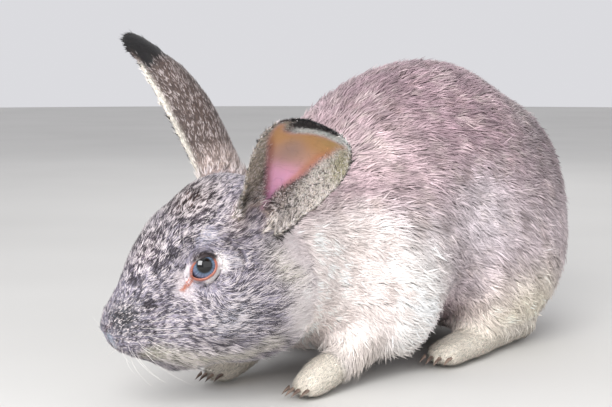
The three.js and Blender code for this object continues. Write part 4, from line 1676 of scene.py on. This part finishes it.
EYE = eye_material()
for side, name in ((1, "left"), (-1, "right")):
    ball = eyeball("eyeball_" + name, side)
    ball.data.materials.append(EYE)
    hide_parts("eye_" + name)
    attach(ball, "root")
    print(ball.name, len(ball.data.polygons), "faces")

# %% [markdown]
# ## Whiskers
#
# Whiskers stand in rows on the pads beside the nose, with a few above the eyes. Each is a fine
# tapering rod that leaves the skin outwards and curves back. A curve with a bevel, its radius falling
# to almost nothing at the tip, is the quickest way to draw one; it then becomes a mesh.

# %% Whiskers
WHISKER_ROOT = 0.13  # mm, radius
WHISKER_HEIGHTS = (-11, -14.5, -18, -21.5)  # of the rows, in the head's millimetres
WHISKER_COLUMNS = 5
BROW_WHISKERS = 3
WHISKER_SEED = 5
WHISKER_SAG = np.array((0, 0.55, -0.20))
WHISKER_LOWEST = 0.003  # metres over the floor
random = np.random.default_rng(WHISKER_SEED)


def whisker_lines(side):
    """Root, direction and length of each of one side's whiskers, in the head's frame."""
    lines = []
    for row, height in enumerate(WHISKER_HEIGHTS):
        for column in range(WHISKER_COLUMNS):
            root = np.array((side * (9 + 1.6 * column), -58 + 4.0 * column, height))
            out = np.array((side * (0.95 - 0.05 * column), -0.42 + 0.17 * column, 0.22 - 0.2 * row))
            reach = random.uniform(24, 34) + 4.5 * column
            lines.append((root, unit(out + random.normal(0, 0.07, 3)), reach))
    for column in range(BROW_WHISKERS):
        root = np.array((side * 25, -3 + 5 * column, 14.5))
        out = unit(np.array((side * 0.8, -0.1 + 0.2 * column, 0.9)))
        lines.append((root, out, random.uniform(16, 24)))
    return lines


def whiskers(name, side):
    """All of one side's whiskers as a mesh of tapering rods."""
    data = bpy.data.curves.new(name, "CURVE")
    data.dimensions = "3D"
    data.bevel_depth = WHISKER_ROOT * MM
    data.bevel_resolution = 1
    data.resolution_u = 1
    for root, out, reach in whisker_lines(side):
        hit = skin_tree.find_nearest(Vector(from_head(root)))
        start = in_head(np.array(hit[0])) - out
        spline = data.splines.new("POLY")
        steps = np.linspace(0, 1, 9)
        spline.points.add(len(steps) - 1)
        for knot, share in zip(spline.points, steps):
            sag = WHISKER_SAG * reach * share**2 * 0.5
            x, y, z = from_head(start + out * reach * share + sag)
            knot.co = (x, y, max(z, WHISKER_LOWEST), 1)
            knot.radius = 1 - 0.93 * share
    piece = linked(name, data)
    only(piece)
    bpy.ops.object.convert(target="MESH")
    piece = bpy.context.object
    bpy.ops.object.mode_set(mode="EDIT")
    bpy.ops.mesh.select_mode(type="EDGE")
    bpy.ops.mesh.select_all(action="DESELECT")
    bpy.ops.mesh.select_non_manifold()
    bpy.ops.mesh.edge_face_add()
    bpy.ops.mesh.select_all(action="SELECT")
    bpy.ops.mesh.normals_make_consistent(inside=False)
    bpy.ops.object.mode_set(mode="OBJECT")
    bpy.ops.object.shade_smooth()
    return piece


HORN_FINISH = {"Roughness": 0.35, "Specular IOR Level": 0.5}


def whisker_material():
    material, tree, shader = new_material("whisker", HORN_FINISH)
    tone = ramp(tree, noise(tree, 60, 1), (0.3, colour("b8b2ae")), (0.7, colour("f4f0ea")))
    tree.links.new(tone, shader.inputs["Base Color"])
    return material


WHISKER = whisker_material()
for side, name in ((1, "left"), (-1, "right")):
    piece = whiskers("whiskers_" + name, side)
    piece.data.materials.append(WHISKER)
    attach(piece, "root")
    print(piece.name, len(piece.data.polygons), "faces")

# %% [markdown]
# ## Claws
#
# The claws are packed as solids of the right shape, so they stay and only get their finish: horn,
# brown at the root and paler towards the tip, with growth lines along it.

# %% Claws' material
def claw_material():
    material, tree, shader = new_material("claw_horn", HORN_FINISH)
    streaks = noise(tree, 350, 3, (1, 0.2, 1))
    layers = ramp(tree, streaks, (0.35, colour("4a3a33")), (0.7, colour("8d7a6c")))
    tree.links.new(layers, shader.inputs["Base Color"])
    bumped(tree, shader, noise(tree, 900, 2, (1, 0.15, 1)), 0.2, 0.0002)
    return material


CLAW = claw_material()
claws = [name for name in nodes if "claw" in name]
for name in claws:
    nodes[name].data.materials.clear()
    nodes[name].data.materials.append(CLAW)
print("claws:", len(claws))

# %% [markdown]
# ## The studio
#
# A pale floor, a pale surrounding, and four soft lamps. The one above and left of the camera is the
# window that shows in the eye. A broad one to the right fills the shadows, one overhead lights the
# back, and a weak one from behind parts the outline from the floor.

# %% Floor and lights
FLOOR_RADIUS = 5.0  # metres
FLOOR_FINISH = {"Roughness": 0.8, "Specular IOR Level": 0.2}
DAYLIGHT = (0.96, 0.96, 1.0, 1)
DAYLIGHT_STRENGTH = 0.74
LIT_POINT = Vector((0, -0.03, 0.08))  # that the lamps look at
WHITE, WARM_WHITE = (1, 1, 1), (1, 0.985, 0.97)

circle = bpy.ops.mesh.primitive_circle_add
floor = primitive("studio_floor", circle, vertices=96, radius=FLOOR_RADIUS, fill_type="NGON")
floor_material, floor_tree, floor_shader = new_material("studio_floor", FLOOR_FINISH)
floor_tone = ramp(floor_tree, noise(floor_tree, 3, 2), (0.3, colour("c9c8c5")), (0.7, colour("cfcecb")))
floor_tree.links.new(floor_tone, floor_shader.inputs["Base Color"])
floor.data.materials.append(floor_material)
floor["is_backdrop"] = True

world = bpy.data.worlds.new("studio")
world.use_nodes = True
surround = world.node_tree.nodes["Background"]
surround.inputs["Color"].default_value = DAYLIGHT
surround.inputs["Strength"].default_value = DAYLIGHT_STRENGTH
bpy.context.scene.world = world


def lamp(name, direction, distance, size, power, tint=WHITE):
    """A square soft lamp, with its distance and size in metres and its power in watts."""
    data = bpy.data.lights.new(name, "AREA")
    data.shape = "SQUARE"
    data.size = size
    data.energy = power
    data.color = tint
    out = Vector(direction).normalized()
    lamp_turn = out.to_track_quat("Z", "Y").to_matrix().to_4x4()
    linked(name, data).matrix_world = Matrix.Translation(LIT_POINT + out * distance) @ lamp_turn


lamp("window", view_back * 0.9 - view_right * 0.24 + view_up * 0.36, 1.5, 0.72, 25)
lamp("fill", view_back * 0.75 + view_right * 0.6 + view_up * 0.05, 1.7, 1.9, 12)
lamp("overhead", (0.25, -0.1, 1.0), 1.6, 1.4, 4, WARM_WHITE)
lamp("rear", (-0.5, 0.9, 0.7), 1.8, 1.0, 4)
bpy.context.scene.view_settings.view_transform = "Standard"

# %% [markdown]
# ## Size, and the end
#
# The box round everything that is rendered, without the floor, is measured. The dressed rabbit
# must not outgrow the imported one.

# %% Measure the size
low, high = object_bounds()
